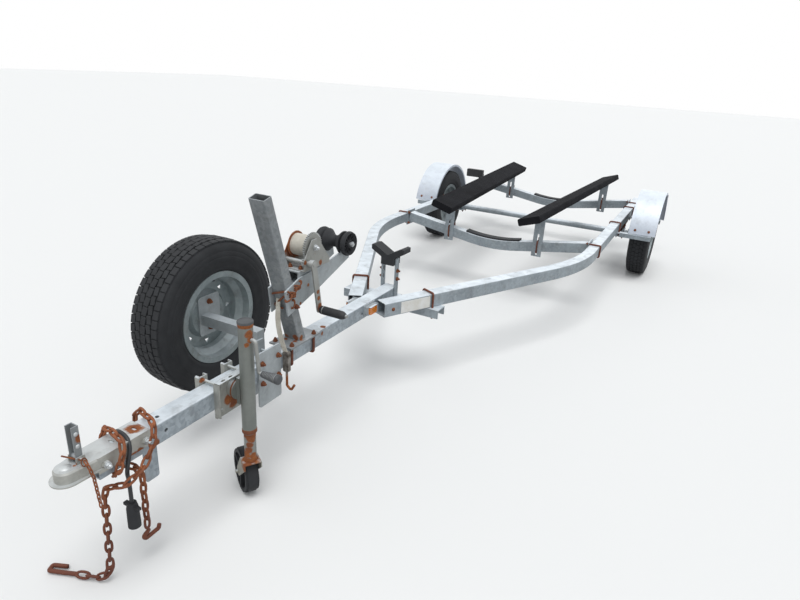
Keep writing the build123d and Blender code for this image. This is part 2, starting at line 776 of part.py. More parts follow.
with BuildPart() as winch_frame:
    with BuildSketch(Plane.XY.offset(winch_base_z - 3)):
        with Locations((0, winch_y + 12)):
            Rectangle(2 * winch_cheek_x, 150)
    extrude(amount=cheek_gauge)
    for inner in (winch_cheek_x, -winch_cheek_x - cheek_gauge):
        with BuildSketch(beside(inner)):
            with BuildLine():
                Polyline(
                    (winch_y - 63, winch_base_z - 3),
                    (winch_y + 87, winch_base_z - 3),
                    (winch_y + 87, winch_base_z + 14),
                    (winch_y + 30, winch_z + 16),
                    (winch_y + 10, winch_z + 30),
                    (winch_y - 18, winch_z + 30),
                    (crank_y - 20, crank_z + 14),
                    close=True,
                )
            make_face()
            with Locations((winch_y, winch_z)):
                Circle(drum_shaft_radius + pin_gap, mode=Mode.SUBTRACT)
            with Locations((crank_y, crank_z)):
                Circle(crank_shaft_radius + pin_gap, mode=Mode.SUBTRACT)
        extrude(amount=cheek_gauge)
finish(winch_frame, "winch_frame")

drum_left_x = -37
drum_core_radius = 17
drum_flange_radius = 46
strap_wound_radius = 38
mesh_angle = degrees(atan2(crank_z - winch_z, crank_y - winch_y))
with BuildPart() as drum:
    with BuildSketch(beside(-winch_cheek_x - cheek_gauge - 6)):
        with Locations((winch_y, winch_z)):
            Circle(drum_shaft_radius)
    extrude(amount=2 * (winch_cheek_x + cheek_gauge + 6))
    for x, radius, width in ((drum_left_x, drum_flange_radius, 3), (drum_left_x, drum_core_radius, gear_x - drum_left_x)):
        with BuildSketch(beside(x)):
            with Locations((winch_y, winch_z)):
                Circle(radius)
        extrude(amount=width)
    extrude(gear_outline(gear_teeth, gear_module, gear_x, winch_y, winch_z, mesh_angle + 180 / gear_teeth), amount=gear_width)
finish(drum, "winch_drum")
with BuildPart() as wound:
    with BuildSketch(beside(drum_left_x + 3 + body_gap)):
        with Locations((winch_y, winch_z)):
            Circle(strap_wound_radius)
            Circle(drum_core_radius, mode=Mode.SUBTRACT)
    extrude(amount=gear_x - drum_left_x - 3 - 2 * body_gap)
finish(wound, "strap_wound")

crank_arm_x = 68
crank_arm_length = 178
crank_arm_lean = 11
crank_grip_radius = 15
crank_grip_length = 105
crank_tip = (
    crank_y + crank_arm_length * sin(radians(crank_arm_lean)),
    crank_z - crank_arm_length * cos(radians(crank_arm_lean)),
)
with BuildPart() as crank:
    with BuildSketch(beside(-winch_cheek_x - cheek_gauge - 5)):
        with Locations((crank_y, crank_z)):
            Circle(crank_shaft_radius)
    extrude(amount=winch_cheek_x + cheek_gauge + 5 + crank_arm_x + 8)
    extrude(
        gear_outline(pinion_teeth, gear_module * 0.985, gear_x - 2, crank_y, crank_z, mesh_angle + 180),
        amount=gear_width + 4,
    )
    with BuildSketch(beside(crank_arm_x - 10)):
        with Locations((crank_y, crank_z)):
            Circle(15)
    extrude(amount=16)
    with BuildSketch(beside(crank_arm_x)):
        with Locations(((crank_y + crank_tip[0]) / 2, (crank_z + crank_tip[1]) / 2)):
            SlotOverall(crank_arm_length + 26, 26, rotation=degrees(atan2(crank_tip[1] - crank_z, crank_tip[0] - crank_y)))
    extrude(amount=6)
    with BuildSketch(beside(crank_arm_x)):
        with Locations(crank_tip):
            Circle(6)
    extrude(amount=crank_grip_length + 16)
    with BuildSketch(Plane(origin=(crank_arm_x + 9, crank_tip[0], crank_tip[1]), x_dir=(1, 0, 0), z_dir=(0, -1, 0))):
        with BuildLine():
            Polyline(
                (0, 0), (0, crank_grip_radius - 3), (8, crank_grip_radius), (crank_grip_length - 14, crank_grip_radius),
                (crank_grip_length, crank_grip_radius - 7), (crank_grip_length, 0), close=True,
            )
        make_face()
    revolve(axis=Axis((0, crank_tip[0], crank_tip[1]), (1, 0, 0)))
finish(crank, "winch_crank")

# Bow roller: rubber spool between the arms and two bells outside them, on one bolt
roller_inner = half_tube - 1.2
with BuildPart() as roller:
    with BuildSketch(Plane(origin=(0, roller_y, roller_z), x_dir=(1, 0, 0), z_dir=(0, -1, 0))):
        with BuildLine():
            Polyline(
                (-roller_inner, roller_bolt_radius + pin_gap),
                (-roller_inner, 44),
                (8 - roller_inner, 45),
                (14 - roller_inner, 38),
                (-6, 26),
                (6, 26),
                (roller_inner - 14, 38),
                (roller_inner - 8, 45),
                (roller_inner, 44),
                (roller_inner, roller_bolt_radius + pin_gap),
                close=True,
            )
        make_face()
    revolve(axis=Axis((0, roller_y, roller_z), (1, 0, 0)))
    bell_inner = half_tube + arm_gauge + 1.2
    with BuildSketch(Plane(origin=(0, roller_y, roller_z), x_dir=(1, 0, 0), z_dir=(0, -1, 0))):
        for sign in (1, -1):
            with BuildLine():
                Polyline(
                    (sign * bell_inner, roller_bolt_radius + pin_gap),
                    (sign * bell_inner, 26),
                    (sign * (bell_inner + 8), 42),
                    (sign * (bell_inner + 18), 47),
                    (sign * (bell_inner + 26), 46),
                    (sign * (bell_inner + 30), 40),
                    (sign * (bell_inner + 30), roller_bolt_radius + pin_gap),
                    close=True,
                )
            make_face()
    revolve(axis=Axis((0, roller_y, roller_z), (1, 0, 0)))
finish(roller, "bow_roller")
with BuildPart() as roller_bolt:
    for sign in (1, -1):
        with BuildSketch(beside(sign * (half_tube + arm_gauge))):
            with Locations((roller_y, roller_z)):
                Circle(roller_bolt_radius)
        extrude(amount=sign * 42)
        with BuildSketch(beside(sign * (bell_inner + 31))):
            with Locations((roller_y, roller_z)):
                RegularPolygon(10, 6)
        extrude(amount=sign * 7)
finish(roller_bolt, "bow_roller_bolt")

# Coupler: pressed steel sleeve over the tongue, running down to a hooded ball socket
ball_y = axle_y - ball_reach
ball_z = tongue_top - 20
lip_z = ball_z - 10
socket_radius = 24
coupler_sheet = 3.5
lip_radius = socket_radius + 14
sleeve_half = half_tube + body_gap + coupler_sheet
sleeve_front_y = axle_y - 3995
sleeve_rear_y = axle_y - 3840
sleeve_top = tongue_top + coupler_sheet
sleeve_drop = 46


def coupler_neck(grow, flare):
    """Plan of the coupler between sleeve and socket, grown outwards by grow."""
    socket = socket_radius + grow
    wide = half_tube + body_gap + grow + flare
    Polygon(
        (-socket, ball_y), (socket, ball_y), (wide, sleeve_front_y), (wide, sleeve_front_y + 6),
        (-wide, sleeve_front_y + 6), (-wide, sleeve_front_y), align=None,
    )
    with Locations((0, ball_y)):
        Circle(socket)


with BuildPart() as coupler:
    with BuildSketch(Plane.XY.offset(lip_z)):
        coupler_neck(coupler_sheet, 0)
    extrude(amount=sleeve_top - 5 - lip_z)
    with BuildSketch(Plane.XY.offset(sleeve_top - 5)):
        coupler_neck(coupler_sheet, 0)
    extrude(amount=5, taper=30)
    with BuildSketch(Plane.XY.offset(lip_z)):
        coupler_neck(lip_radius - socket_radius, coupler_sheet - lip_radius + socket_radius + 5)
    extrude(amount=coupler_sheet)
    with Locations((0, ball_y, ball_z)):
        Sphere(socket_radius + coupler_sheet)
    split(bisect_by=Plane.XY.offset(lip_z), keep=Keep.TOP)
    with BuildSketch(across(sleeve_front_y)):
        with Locations((0, sleeve_top - sleeve_drop / 2)):
            Rectangle(2 * sleeve_half, sleeve_drop)
    extrude(amount=-(sleeve_rear_y - sleeve_front_y))
    with BuildSketch(across(sleeve_front_y)):
        with Locations((0, tongue_top - sleeve_drop)):
            Rectangle(2 * (half_tube + body_gap), 2 * sleeve_drop)
    extrude(amount=-(sleeve_rear_y - sleeve_front_y), mode=Mode.SUBTRACT)
    with BuildSketch(Plane.XY.offset(lip_z)):
        coupler_neck(0, 0)
    extrude(amount=ball_z - lip_z + 8, mode=Mode.SUBTRACT)
    with Locations((0, ball_y, ball_z)):
        Sphere(socket_radius, mode=Mode.SUBTRACT)
    with BuildSketch(Plane.XY.offset(sleeve_top)):
        with Locations((0, axle_y - 3930), (0, axle_y - 3862)):
            SlotOverall(18, 9)
    extrude(amount=-coupler_sheet, mode=Mode.SUBTRACT)

bolt_spots = ((axle_y - 3976, tongue_top - 22), (axle_y - 3858, tongue_top - 22))
with BuildPart() as coupler_bolts:
    for spot in bolt_spots:
        for sign in (1, -1):
            with BuildSketch(beside(sign * sleeve_half)):
                with Locations(spot):
                    RegularPolygon(10.5, 6)
            extrude(amount=sign * 7)
            with BuildSketch(beside(sign * sleeve_half)):
                with Locations(spot):
                    Circle(5)
            extrude(amount=sign * 10)

# Latch: channel lever standing on two ears behind the hood
latch_y = axle_y - 4024
latch_z = sleeve_top + 12
ear_x = 13
ear_gauge = 3
latch_pin_radius = 3.5
latch_pin_end_x = 23
latch_length = 88
with BuildPart() as latch_ears:
    for inner in (ear_x, -ear_x - ear_gauge):
        with BuildSketch(beside(inner)):
            with BuildLine():
                Polyline(
                    (latch_y - 12, sleeve_top), (latch_y + 14, sleeve_top), (latch_y + 12, latch_z + 6),
                    (latch_y - 10, latch_z + 6), close=True,
                )
            make_face()
        extrude(amount=ear_gauge)
    with BuildSketch(beside(-latch_pin_end_x)):
        with Locations((latch_y, latch_z)):
            Circle(latch_pin_radius)
    extrude(amount=2 * latch_pin_end_x)
with BuildPart() as coupler_whole:
    add([coupler.part, coupler_bolts.part, latch_ears.part])
finish(coupler_whole, "coupler")
latch_width = 2 * ear_x - 1.6
with BuildPart() as latch:
    with BuildSketch(Plane.XY.offset(latch_z - 6)):
        with Locations((0, latch_y)):
            Rectangle(latch_width, 18)
            with Locations((0, -2.5)):
                Rectangle(latch_width - 5, 18, mode=Mode.SUBTRACT)
    extrude(amount=latch_length + 6)
    with BuildSketch(beside(-latch_width / 2)):
        with Locations((latch_y, latch_z)):
            Circle(7.5)
            Circle(latch_pin_radius + pin_gap, mode=Mode.SUBTRACT)
    extrude(amount=latch_width)
    with BuildSketch(beside(-latch_width / 2)):
        with Locations((latch_y, latch_z)):
            Circle(latch_pin_radius + pin_gap)
    extrude(amount=latch_width, mode=Mode.SUBTRACT)
finish(latch, "coupler_latch")

# Jack: clamp bracket, swinging outer tube, sliding leg and a trailing caster
jack_x = 90.7
jack_y = axle_y - 3525.5
jack_pivot_z = 404
jack_top = 640
jack_tube_radius = 22.5
jack_tube_wall = 2
jack_tube_bottom = 264
jack_bolt_ys = (axle_y - 3586, axle_y - 3478)
jack_bolt_zs = (tongue_top + 12, tongue_bottom - 12)
bracket_half = 76
boss_radius = 34
boss_end_x = 50
disc_end_x = 58
with BuildPart() as jack_bracket:
    with BuildSketch(beside(half_tube)):
        with Locations(((jack_bolt_ys[0] + jack_bolt_ys[1]) / 2, (jack_bolt_zs[0] + jack_bolt_zs[1]) / 2)):
            RectangleRounded(2 * bracket_half, 128, 8)
    extrude(amount=4)
    with BuildSketch(beside(half_tube)):
        with Locations((jack_y, jack_pivot_z)):
            Circle(boss_radius)
    extrude(amount=boss_end_x - half_tube)
    with BuildSketch(beside(boss_end_x)):
        with Locations((jack_y, jack_pivot_z)):
            Circle(9)
    extrude(amount=disc_end_x - boss_end_x)
    for bar_y in jack_bolt_ys:
        with BuildSketch(Plane.XY.offset(jack_bolt_zs[1] - 12)):
            with Locations((-half_tube - 8, bar_y)):
                Rectangle(16, 36)
            with Locations((-half_tube - 11, bar_y)):
                Rectangle(16, 28, mode=Mode.SUBTRACT)
        extrude(amount=jack_bolt_zs[0] - jack_bolt_zs[1] + 24)
        for bolt_z in jack_bolt_zs:
            with BuildSketch(beside(-half_tube - 30)):
                with Locations((bar_y, bolt_z)):
                    Circle(bolt_radius)
            extrude(amount=2 * half_tube + 42)
            for nut_x in (-half_tube - 11, half_tube + 4):
                with BuildSketch(beside(nut_x)):
                    with Locations((bar_y, bolt_z)):
                        RegularPolygon(9, 6)
                extrude(amount=7)
finish(jack_bracket, "jack_bracket")

jack_crank_z = 585
jack_shaft_radius = 6
with BuildPart() as jack_tube:
    with BuildSketch(Plane.XY.offset(jack_tube_bottom)):
        with Locations((jack_x, jack_y)):
            Circle(jack_tube_radius)
            Circle(jack_tube_radius - jack_tube_wall, mode=Mode.SUBTRACT)
    extrude(amount=jack_top - jack_tube_bottom)
    with BuildSketch(Plane.XY.offset(jack_top - 12)):
        with Locations((jack_x, jack_y)):
            Circle(jack_tube_radius + 1)
    extrude(amount=12)
    with BuildSketch(beside(boss_end_x + body_gap)):
        with Locations((jack_y, jack_pivot_z)):
            Circle(boss_radius)
            Circle(9 + pin_gap, mode=Mode.SUBTRACT)
    extrude(amount=7)
    with BuildSketch(beside(disc_end_x - 0.4)):
        with Locations((jack_y, jack_pivot_z)):
            Rectangle(30, 90)
            Rectangle(19, 19, mode=Mode.SUBTRACT)
    extrude(amount=14)
    with BuildSketch(beside(jack_x)):
        with Locations((jack_y, jack_crank_z)):
            Circle(jack_shaft_radius + pin_gap)
    extrude(amount=jack_tube_radius + 2, mode=Mode.SUBTRACT)
finish(jack_tube, "jack_tube")

jack_arm_x = jack_x + jack_tube_radius + 14
jack_arm_length = 111
jack_grip_length = 70
with BuildPart() as jack_crank:
    with BuildLine() as bent:
        FilletPolyline(
            (jack_x + jack_tube_radius - 12, jack_y, jack_crank_z),
            (jack_arm_x, jack_y, jack_crank_z),
            (jack_arm_x, jack_y + 12, jack_crank_z - jack_arm_length),
            (jack_arm_x + jack_grip_length, jack_y + 12, jack_crank_z - jack_arm_length),
            radius=9,
        )
    with BuildSketch(Plane(origin=bent.line @ 0, z_dir=bent.line % 0)):
        Circle(jack_shaft_radius)
    sweep(path=bent.line)
    with BuildSketch(
        Plane(origin=(jack_arm_x + 12, jack_y + 12, jack_crank_z - jack_arm_length), x_dir=(1, 0, 0), z_dir=(0, -1, 0))
    ):
        with BuildLine():
            Polyline((0, 0), (0, 9), (jack_grip_length - 14, 15), (jack_grip_length - 4, 13), (jack_grip_length - 4, 0), close=True)
        make_face()
    revolve(axis=Axis((0, jack_y + 12, jack_crank_z - jack_arm_length), (1, 0, 0)))
finish(jack_crank, "jack_crank")

# The leg's foot plate and fork turn about the leg; the wheel trails to one side as parked
leg_radius = 19
leg_top = 470
caster_radius = 76
caster_width = 44
caster_trail = 61
caster_turn = 58
fork_plate_z = 150
fork_gauge = 3.5
fork_half = caster_width / 2 + 3
axle_dir = Vector(cos(radians(caster_turn)), sin(radians(caster_turn)), 0)
trail_dir = Vector(-axle_dir.Y, axle_dir.X, 0)
caster_centre = Vector(jack_x, jack_y, caster_radius) + trail_dir * caster_trail
with BuildPart() as jack_leg:
    with BuildSketch(Plane.XY.offset(fork_plate_z + fork_gauge + body_gap)):
        with Locations((jack_x, jack_y)):
            Circle(leg_radius)
            Circle(leg_radius - 3, mode=Mode.SUBTRACT)
    extrude(amount=leg_top - fork_plate_z - fork_gauge)
    with BuildSketch(Plane.XY.offset(fork_plate_z + fork_gauge + body_gap)):
        with Locations((jack_x, jack_y)):
            Circle(leg_radius - 1)
    extrude(amount=8)
    with BuildSketch(Plane.XY.offset(fork_plate_z - 1)):
        with Locations((jack_x, jack_y)):
            Circle(5)
    extrude(amount=12)
finish(jack_leg, "jack_leg")


def caster_plane(along):
    """Plane square to the caster's axle, offset along it; its x follows the trail and its y points up."""
    return Plane(origin=caster_centre + axle_dir * along, x_dir=trail_dir, z_dir=axle_dir)


with BuildPart() as caster_fork:
    with BuildSketch(Plane(origin=(jack_x, jack_y, fork_plate_z), x_dir=trail_dir, z_dir=(0, 0, 1))):
        Rectangle(50, 2 * (fork_half + fork_gauge))
        Circle(5 + pin_gap, mode=Mode.SUBTRACT)
    extrude(amount=fork_gauge)
    for inner in (fork_half, -fork_half - fork_gauge):
        with BuildSketch(caster_plane(inner)):
            with BuildLine():
                Polyline(
                    (-caster_trail - 25, fork_plate_z - caster_radius + fork_gauge),
                    (-caster_trail + 25, fork_plate_z - caster_radius + fork_gauge),
                    (12, 6),
                    (8, -12),
                    (-10, -13),
                    (-caster_trail - 25, fork_plate_z - caster_radius - 18),
                    close=True,
                )
            make_face()
        extrude(amount=fork_gauge)
    with BuildSketch(caster_plane(-fork_half - fork_gauge - 8)):
        Circle(6)
    extrude(amount=2 * (fork_half + fork_gauge + 8))
finish(caster_fork, "caster_fork")
with BuildPart() as caster_wheel:
    with BuildSketch(caster_plane(-caster_width / 2)):
        Circle(caster_radius - 3)
        Circle(6 + pin_gap, mode=Mode.SUBTRACT)
    extrude(amount=caster_width)
    with BuildSketch(caster_plane(-caster_width / 2 + 7)):
        Circle(caster_radius)
        Circle(caster_radius - 8, mode=Mode.SUBTRACT)
    extrude(amount=caster_width - 14)
    for face, way in ((-caster_width / 2, 1), (caster_width / 2, -1)):
        with BuildSketch(caster_plane(face)) as pocket:
            Circle(caster_radius - 15)
            Circle(18, mode=Mode.SUBTRACT)
            for spoke in range(3):
                with Locations(Rotation(0, 0, 30 + 120 * spoke)):
                    with Locations((35, 0)):
                        Rectangle(70, 9, mode=Mode.SUBTRACT)
        extrude(pocket.sketch, amount=way * 13, mode=Mode.SUBTRACT)
finish(caster_wheel, "caster_wheel")

# Safety chains: links laid end to end along each chain's route
link_pitch = 28.5
link_bar = 3.5
link_half_width = 8
chain_routes = (
    (
        (-14, axle_y - 3838, 340),
        (-50, axle_y - 3830, 344),
        (-54, axle_y - 3812, 436),
        (-34, axle_y - 3812, 446),
        (32, axle_y - 3830, 446),
        (54, axle_y - 3840, 438),
        (62, axle_y - 3856, 400),
        (56, axle_y - 3868, 368),
        (64, axle_y - 3898, 345),
        (54, axle_y - 3944, 322),
        (8, axle_y - 3965, 312),
        (0, axle_y - 3968, 296),
        (-2, axle_y - 3984, 30),
        (-30, axle_y - 3998, 14),
        (-112, axle_y - 4030, 14),
    ),
    (
        (-2, axle_y - 3940, 344),
        (24, axle_y - 3950, 346),
        (53, axle_y - 3955, 372),
        (55, axle_y - 3934, 436),
        (34, axle_y - 3928, 447),
        (-34, axle_y - 3914, 447),
        (-55, axle_y - 3914, 436),
        (-53, axle_y - 3918, 365),
        (-26, axle_y - 3912, 338),
        (8, axle_y - 3888, 330),
        (29, axle_y - 3876, 312),
        (31, axle_y - 3880, 118),
    ),
)


def chain_joints(route, pitch):
    """Points one link pitch apart along straight runs."""
    joints = [Vector(*route[0])]
    for start, end in zip(route, route[1:]):
        run = Vector(*end) - Vector(*start)
        while (Vector(*end) - joints[-1]).length >= pitch:
            back = Vector(*start) - joints[-1]
            slope = back.dot(run)
            share = (sqrt(slope**2 - run.dot(run) * (back.dot(back) - pitch**2)) - slope) / run.dot(run)
            joints.append(Vector(*start) + run * share)
    return joints


with BuildPart() as link:
    with BuildLine() as bent:
        end_x = (link_pitch + 2 * link_bar + 0.5) / 2 - link_half_width * 0.86
        Polyline(
            (end_x, link_half_width),
            (-end_x, link_half_width),
            (-end_x - link_half_width * 0.86, link_half_width / 2),
            (-end_x - link_half_width * 0.86, -link_half_width / 2),
            (-end_x, -link_half_width),
            (end_x, -link_half_width),
            (end_x + link_half_width * 0.86, -link_half_width / 2),
            (end_x + link_half_width * 0.86, link_half_width / 2),
            close=True,
        )
    with BuildSketch(Plane(origin=(0, link_half_width, 0), z_dir=(1, 0, 0))):
        RegularPolygon(link_bar * 1.1, 6)
    sweep(path=bent.line, transition=Transition.RIGHT)


latch_chain_scale = 0.45
latch_chain_route = (
    (latch_pin_end_x + 8, latch_y, latch_z),
    (46, latch_y - 1, latch_z - 12),
    (52, axle_y - 4021, lip_z + 2),
    (52, axle_y - 4014, lip_z - 92),
)
chain_hooks = (
    ((-96, 4022, 12), (-128, 4034, 10), (-172, 4052, 10), (-180, 4034, 10), (-140, 4016, 10)),
    ((31, 3874, 116), (31, 3898, 104), (31, 3888, 94), (31, 3846, 96), (31, 3842, 108)),
)
hook_bar = 5.5
pieces = []
with BuildPart() as chains:
    for route, size in ((chain_routes[0], 1), (chain_routes[1], 1), (latch_chain_route, latch_chain_scale)):
        joints = chain_joints(route, link_pitch * size)
        for index, (start, end) in enumerate(zip(joints, joints[1:])):
            middle = (start + end) / 2
            along = (end - start).normalized()
            outward = Vector(middle.X, -30, middle.Z - tongue_axis_z)
            outward = (outward - along * outward.dot(along)).normalized()
            lean = along.cross(outward) * (1 if index % 2 else -1)
            laid = Plane(origin=middle, x_dir=along, z_dir=outward + lean)
            pieces.append(laid * scale(link.part, by=size, mode=Mode.PRIVATE))
    add(Compound(pieces))
    for hook in chain_hooks:
        with BuildLine() as bent:
            FilletPolyline(*[(x, axle_y - ahead, z) for x, ahead, z in hook], radius=5)
        with BuildSketch(Plane(origin=bent.line @ 0, z_dir=bent.line % 0)):
            Circle(hook_bar)
        sweep(path=bent.line)
finish(chains, "safety_chains")

# Lighting cable over the tongue, with its plug, and the tab under the tongue
cable_radius = 5.5
# ahead of the axle, x, z and bend radius at each turn
cable_turns = (
    (3868, -14, 346, 0),
    (3880, -46, 350, 12),
    (3892, -44, 432.4, 11),
    (3903, 44, 432.4, 11),
    (3930, 44, 350, 30),
    (3916, 30, 312, 30),
    (3917, 30, 236, 0),
)
with BuildPart() as cable:
    with BuildLine() as bent:
        FilletPolyline(
            *[(x, axle_y - ahead, z) for ahead, x, z, bend in cable_turns],
            radius=[bend for ahead, x, z, bend in cable_turns[1:-1]],
        )
    with BuildSketch(Plane(origin=bent.line @ 0, z_dir=bent.line % 0)):
        Circle(cable_radius)
    sweep(path=bent.line)
finish(cable, "cable")
plug_top_z = 238
plug_bottom_z = 160
with BuildPart() as plug:
    with BuildSketch(Plane(origin=(30, axle_y - 3917, 0), x_dir=(1, 0, 0), z_dir=(0, -1, 0))):
        with BuildLine():
            Polyline(
                (cable_radius + body_gap, plug_top_z), (12, plug_top_z), (16, plug_top_z - 18), (17, plug_bottom_z + 8),
                (17, plug_bottom_z), (13, plug_bottom_z), (13, plug_bottom_z + 12), (0, plug_bottom_z + 12), (0, plug_top_z - 4),
                (cable_radius + body_gap, plug_top_z - 4),
                close=True,
            )
        make_face()
    revolve(axis=Axis((30, axle_y - 3917, 0), (0, 0, 1)))
    for sign in (1, -1):
        with BuildSketch(Plane(origin=(30, axle_y - 3917, plug_top_z - 8), x_dir=(1, 0, 0), z_dir=(0, 0, -1))):
            with Locations((sign * 20, 0)):
                Rectangle(16, 12)
        extrude(amount=8)
finish(plug, "plug")

# Webbing that hangs before the mast, folded into a snap hook
strap_y = axle_y - 3279
strap_gauge = 3
with BuildPart() as strap:
    with BuildSketch(across(strap_y + strap_gauge / 2)):
        with BuildLine():
            Polyline((12, 655), (60, 655), (58, 500), (52, 426.3), (30, 426.3), (20, 500), close=True)
        make_face()
    extrude(amount=strap_gauge)
finish(strap, "winch_strap")
with BuildPart() as strap_hook:
    with BuildSketch(across(strap_y + 7)):
        with Locations((half_tube + body_gap + 12, 388)):
            RectangleRounded(24, 76, 6)
    extrude(amount=14)
    with BuildLine(across(strap_y)) as bent:
        FilletPolyline((44, 352), (44, 294), (62, 280), (76, 304), radius=8)
    with BuildSketch(Plane(origin=bent.line @ 0, z_dir=bent.line % 0)):
        Circle(4.5)
    sweep(path=bent.line)
finish(strap_hook, "strap_hook")

# Marker lamps at the rail noses and tail lamps on brackets behind the fenders
marker_y = axle_y - 2716
lamp_bracket_y = axle_y + 700
lamp_bracket_z = 430
with BuildPart() as lamp_housings:
    for sign in (1, -1):
        with BuildSketch(beside(sign * (half_tube + plate))):
            with Locations((marker_y, tongue_axis_z + 4)):
                RectangleRounded(62, 40, 6)
        extrude(amount=sign * 14)
        with BuildSketch(beside(sign * half_tube)):
            with Locations((marker_y, tongue_axis_z + 4)):
                RectangleRounded(74, 50, 6)
        extrude(amount=sign * plate)
        with BuildSketch(across(lamp_bracket_y)):
            with Locations((sign * (wheel_x - 7), lamp_bracket_z + 30)):
                RectangleRounded(160, 70, 6)
        extrude(amount=-38)
        with BuildSketch(beside(sign * (rail_axis_x + half_tube))):
            with Locations((lamp_bracket_y + 12, rail_axis_z + 14)):
                Rectangle(40, 40)
        extrude(amount=sign * 90)
        with BuildSketch(Plane.XY.offset(rail_axis_z - 6)):
            with Locations((sign * (rail_axis_x + half_tube + 72), lamp_bracket_y + 12)):
                Rectangle(36, 40)
        extrude(amount=80)
finish(lamp_housings, "lamp_housings")
with BuildPart() as lamp_lenses:
    for sign in (1, -1):
        with BuildSketch(beside(sign * (half_tube + plate + 14))):
            with Locations((marker_y, tongue_axis_z + 4)):
                RectangleRounded(54, 32, 6)
        extrude(amount=sign * 9)
finish(lamp_lenses, "marker_lenses")
with BuildPart() as tail_lenses:
    for sign in (1, -1):
        with BuildSketch(across(lamp_bracket_y + 38)):
            with Locations((sign * (wheel_x - 7), lamp_bracket_z + 30)):
                RectangleRounded(148, 58, 5)
        extrude(amount=-14)
finish(tail_lenses, "tail_lenses")
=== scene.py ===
import math

import bpy
from mathutils import Matrix, Vector


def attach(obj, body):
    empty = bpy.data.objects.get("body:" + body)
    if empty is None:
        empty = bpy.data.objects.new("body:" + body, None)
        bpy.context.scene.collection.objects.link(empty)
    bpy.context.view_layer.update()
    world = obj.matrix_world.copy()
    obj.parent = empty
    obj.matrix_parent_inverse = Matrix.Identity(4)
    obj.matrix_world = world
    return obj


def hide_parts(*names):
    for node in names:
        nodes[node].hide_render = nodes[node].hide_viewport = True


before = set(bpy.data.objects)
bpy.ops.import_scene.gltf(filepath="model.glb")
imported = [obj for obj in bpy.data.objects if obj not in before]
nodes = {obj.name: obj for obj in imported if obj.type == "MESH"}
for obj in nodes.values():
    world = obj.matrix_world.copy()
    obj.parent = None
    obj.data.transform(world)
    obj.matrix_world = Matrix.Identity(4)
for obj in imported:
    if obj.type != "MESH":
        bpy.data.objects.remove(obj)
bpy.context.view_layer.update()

# Camera, standing off the port bow at chest height and looking down the tongue.
# Its place and turn were solved from the square tubes and the wheels.
view = bpy.data.cameras.new("photo_view")
view.lens = 26.426
view.sensor_width = 36
view.clip_end = 200
camera = bpy.data.objects.new("photo_view", view)
bpy.context.scene.collection.objects.link(camera)
camera.matrix_world = Matrix(
    (
        (0.879737, -0.219333, 0.421848, 1.19963),
        (0.472038, 0.296635, -0.830173, -3.09157),
        (0.056950, 0.929463, 0.364494, 1.34878),
        (0, 0, 0, 1),
    )
)
bpy.context.scene.camera = camera

# Floor and light: a pale floor, a white surround and soft lamps overhead and on three sides.
# The surround is white to the eye and in reflections, and dimmer as a light, as the floor is.
bpy.context.scene.view_settings.view_transform = "Standard"


class Signal:
    """A shader value that can be added, multiplied and so on: each operator puts in its Math node."""

    def __init__(self, finish, socket):
        self.finish = finish
        self.socket = socket

    def maths(self, operation, left, right, clamp=False):
        settings = {"operation": operation, "use_clamp": clamp}
        return self.finish.add("ShaderNodeMath", settings, {0: left, 1: right})

    def __add__(self, other):
        return self.maths("ADD", self, other)

    def __sub__(self, other):
        return self.maths("SUBTRACT", self, other)

    def __rsub__(self, other):
        return self.maths("SUBTRACT", other, self)

    def __mul__(self, other):
        return self.maths("MULTIPLY", self, other)

    def __truediv__(self, other):
        return self.maths("DIVIDE", self, other)

    __radd__ = __add__
    __rmul__ = __mul__

    def over(self, other):
        """The greater of two masks."""
        return self.maths("MAXIMUM", self, other)

    def clamped(self):
        return self.maths("ADD", self, 0.0, clamp=True)


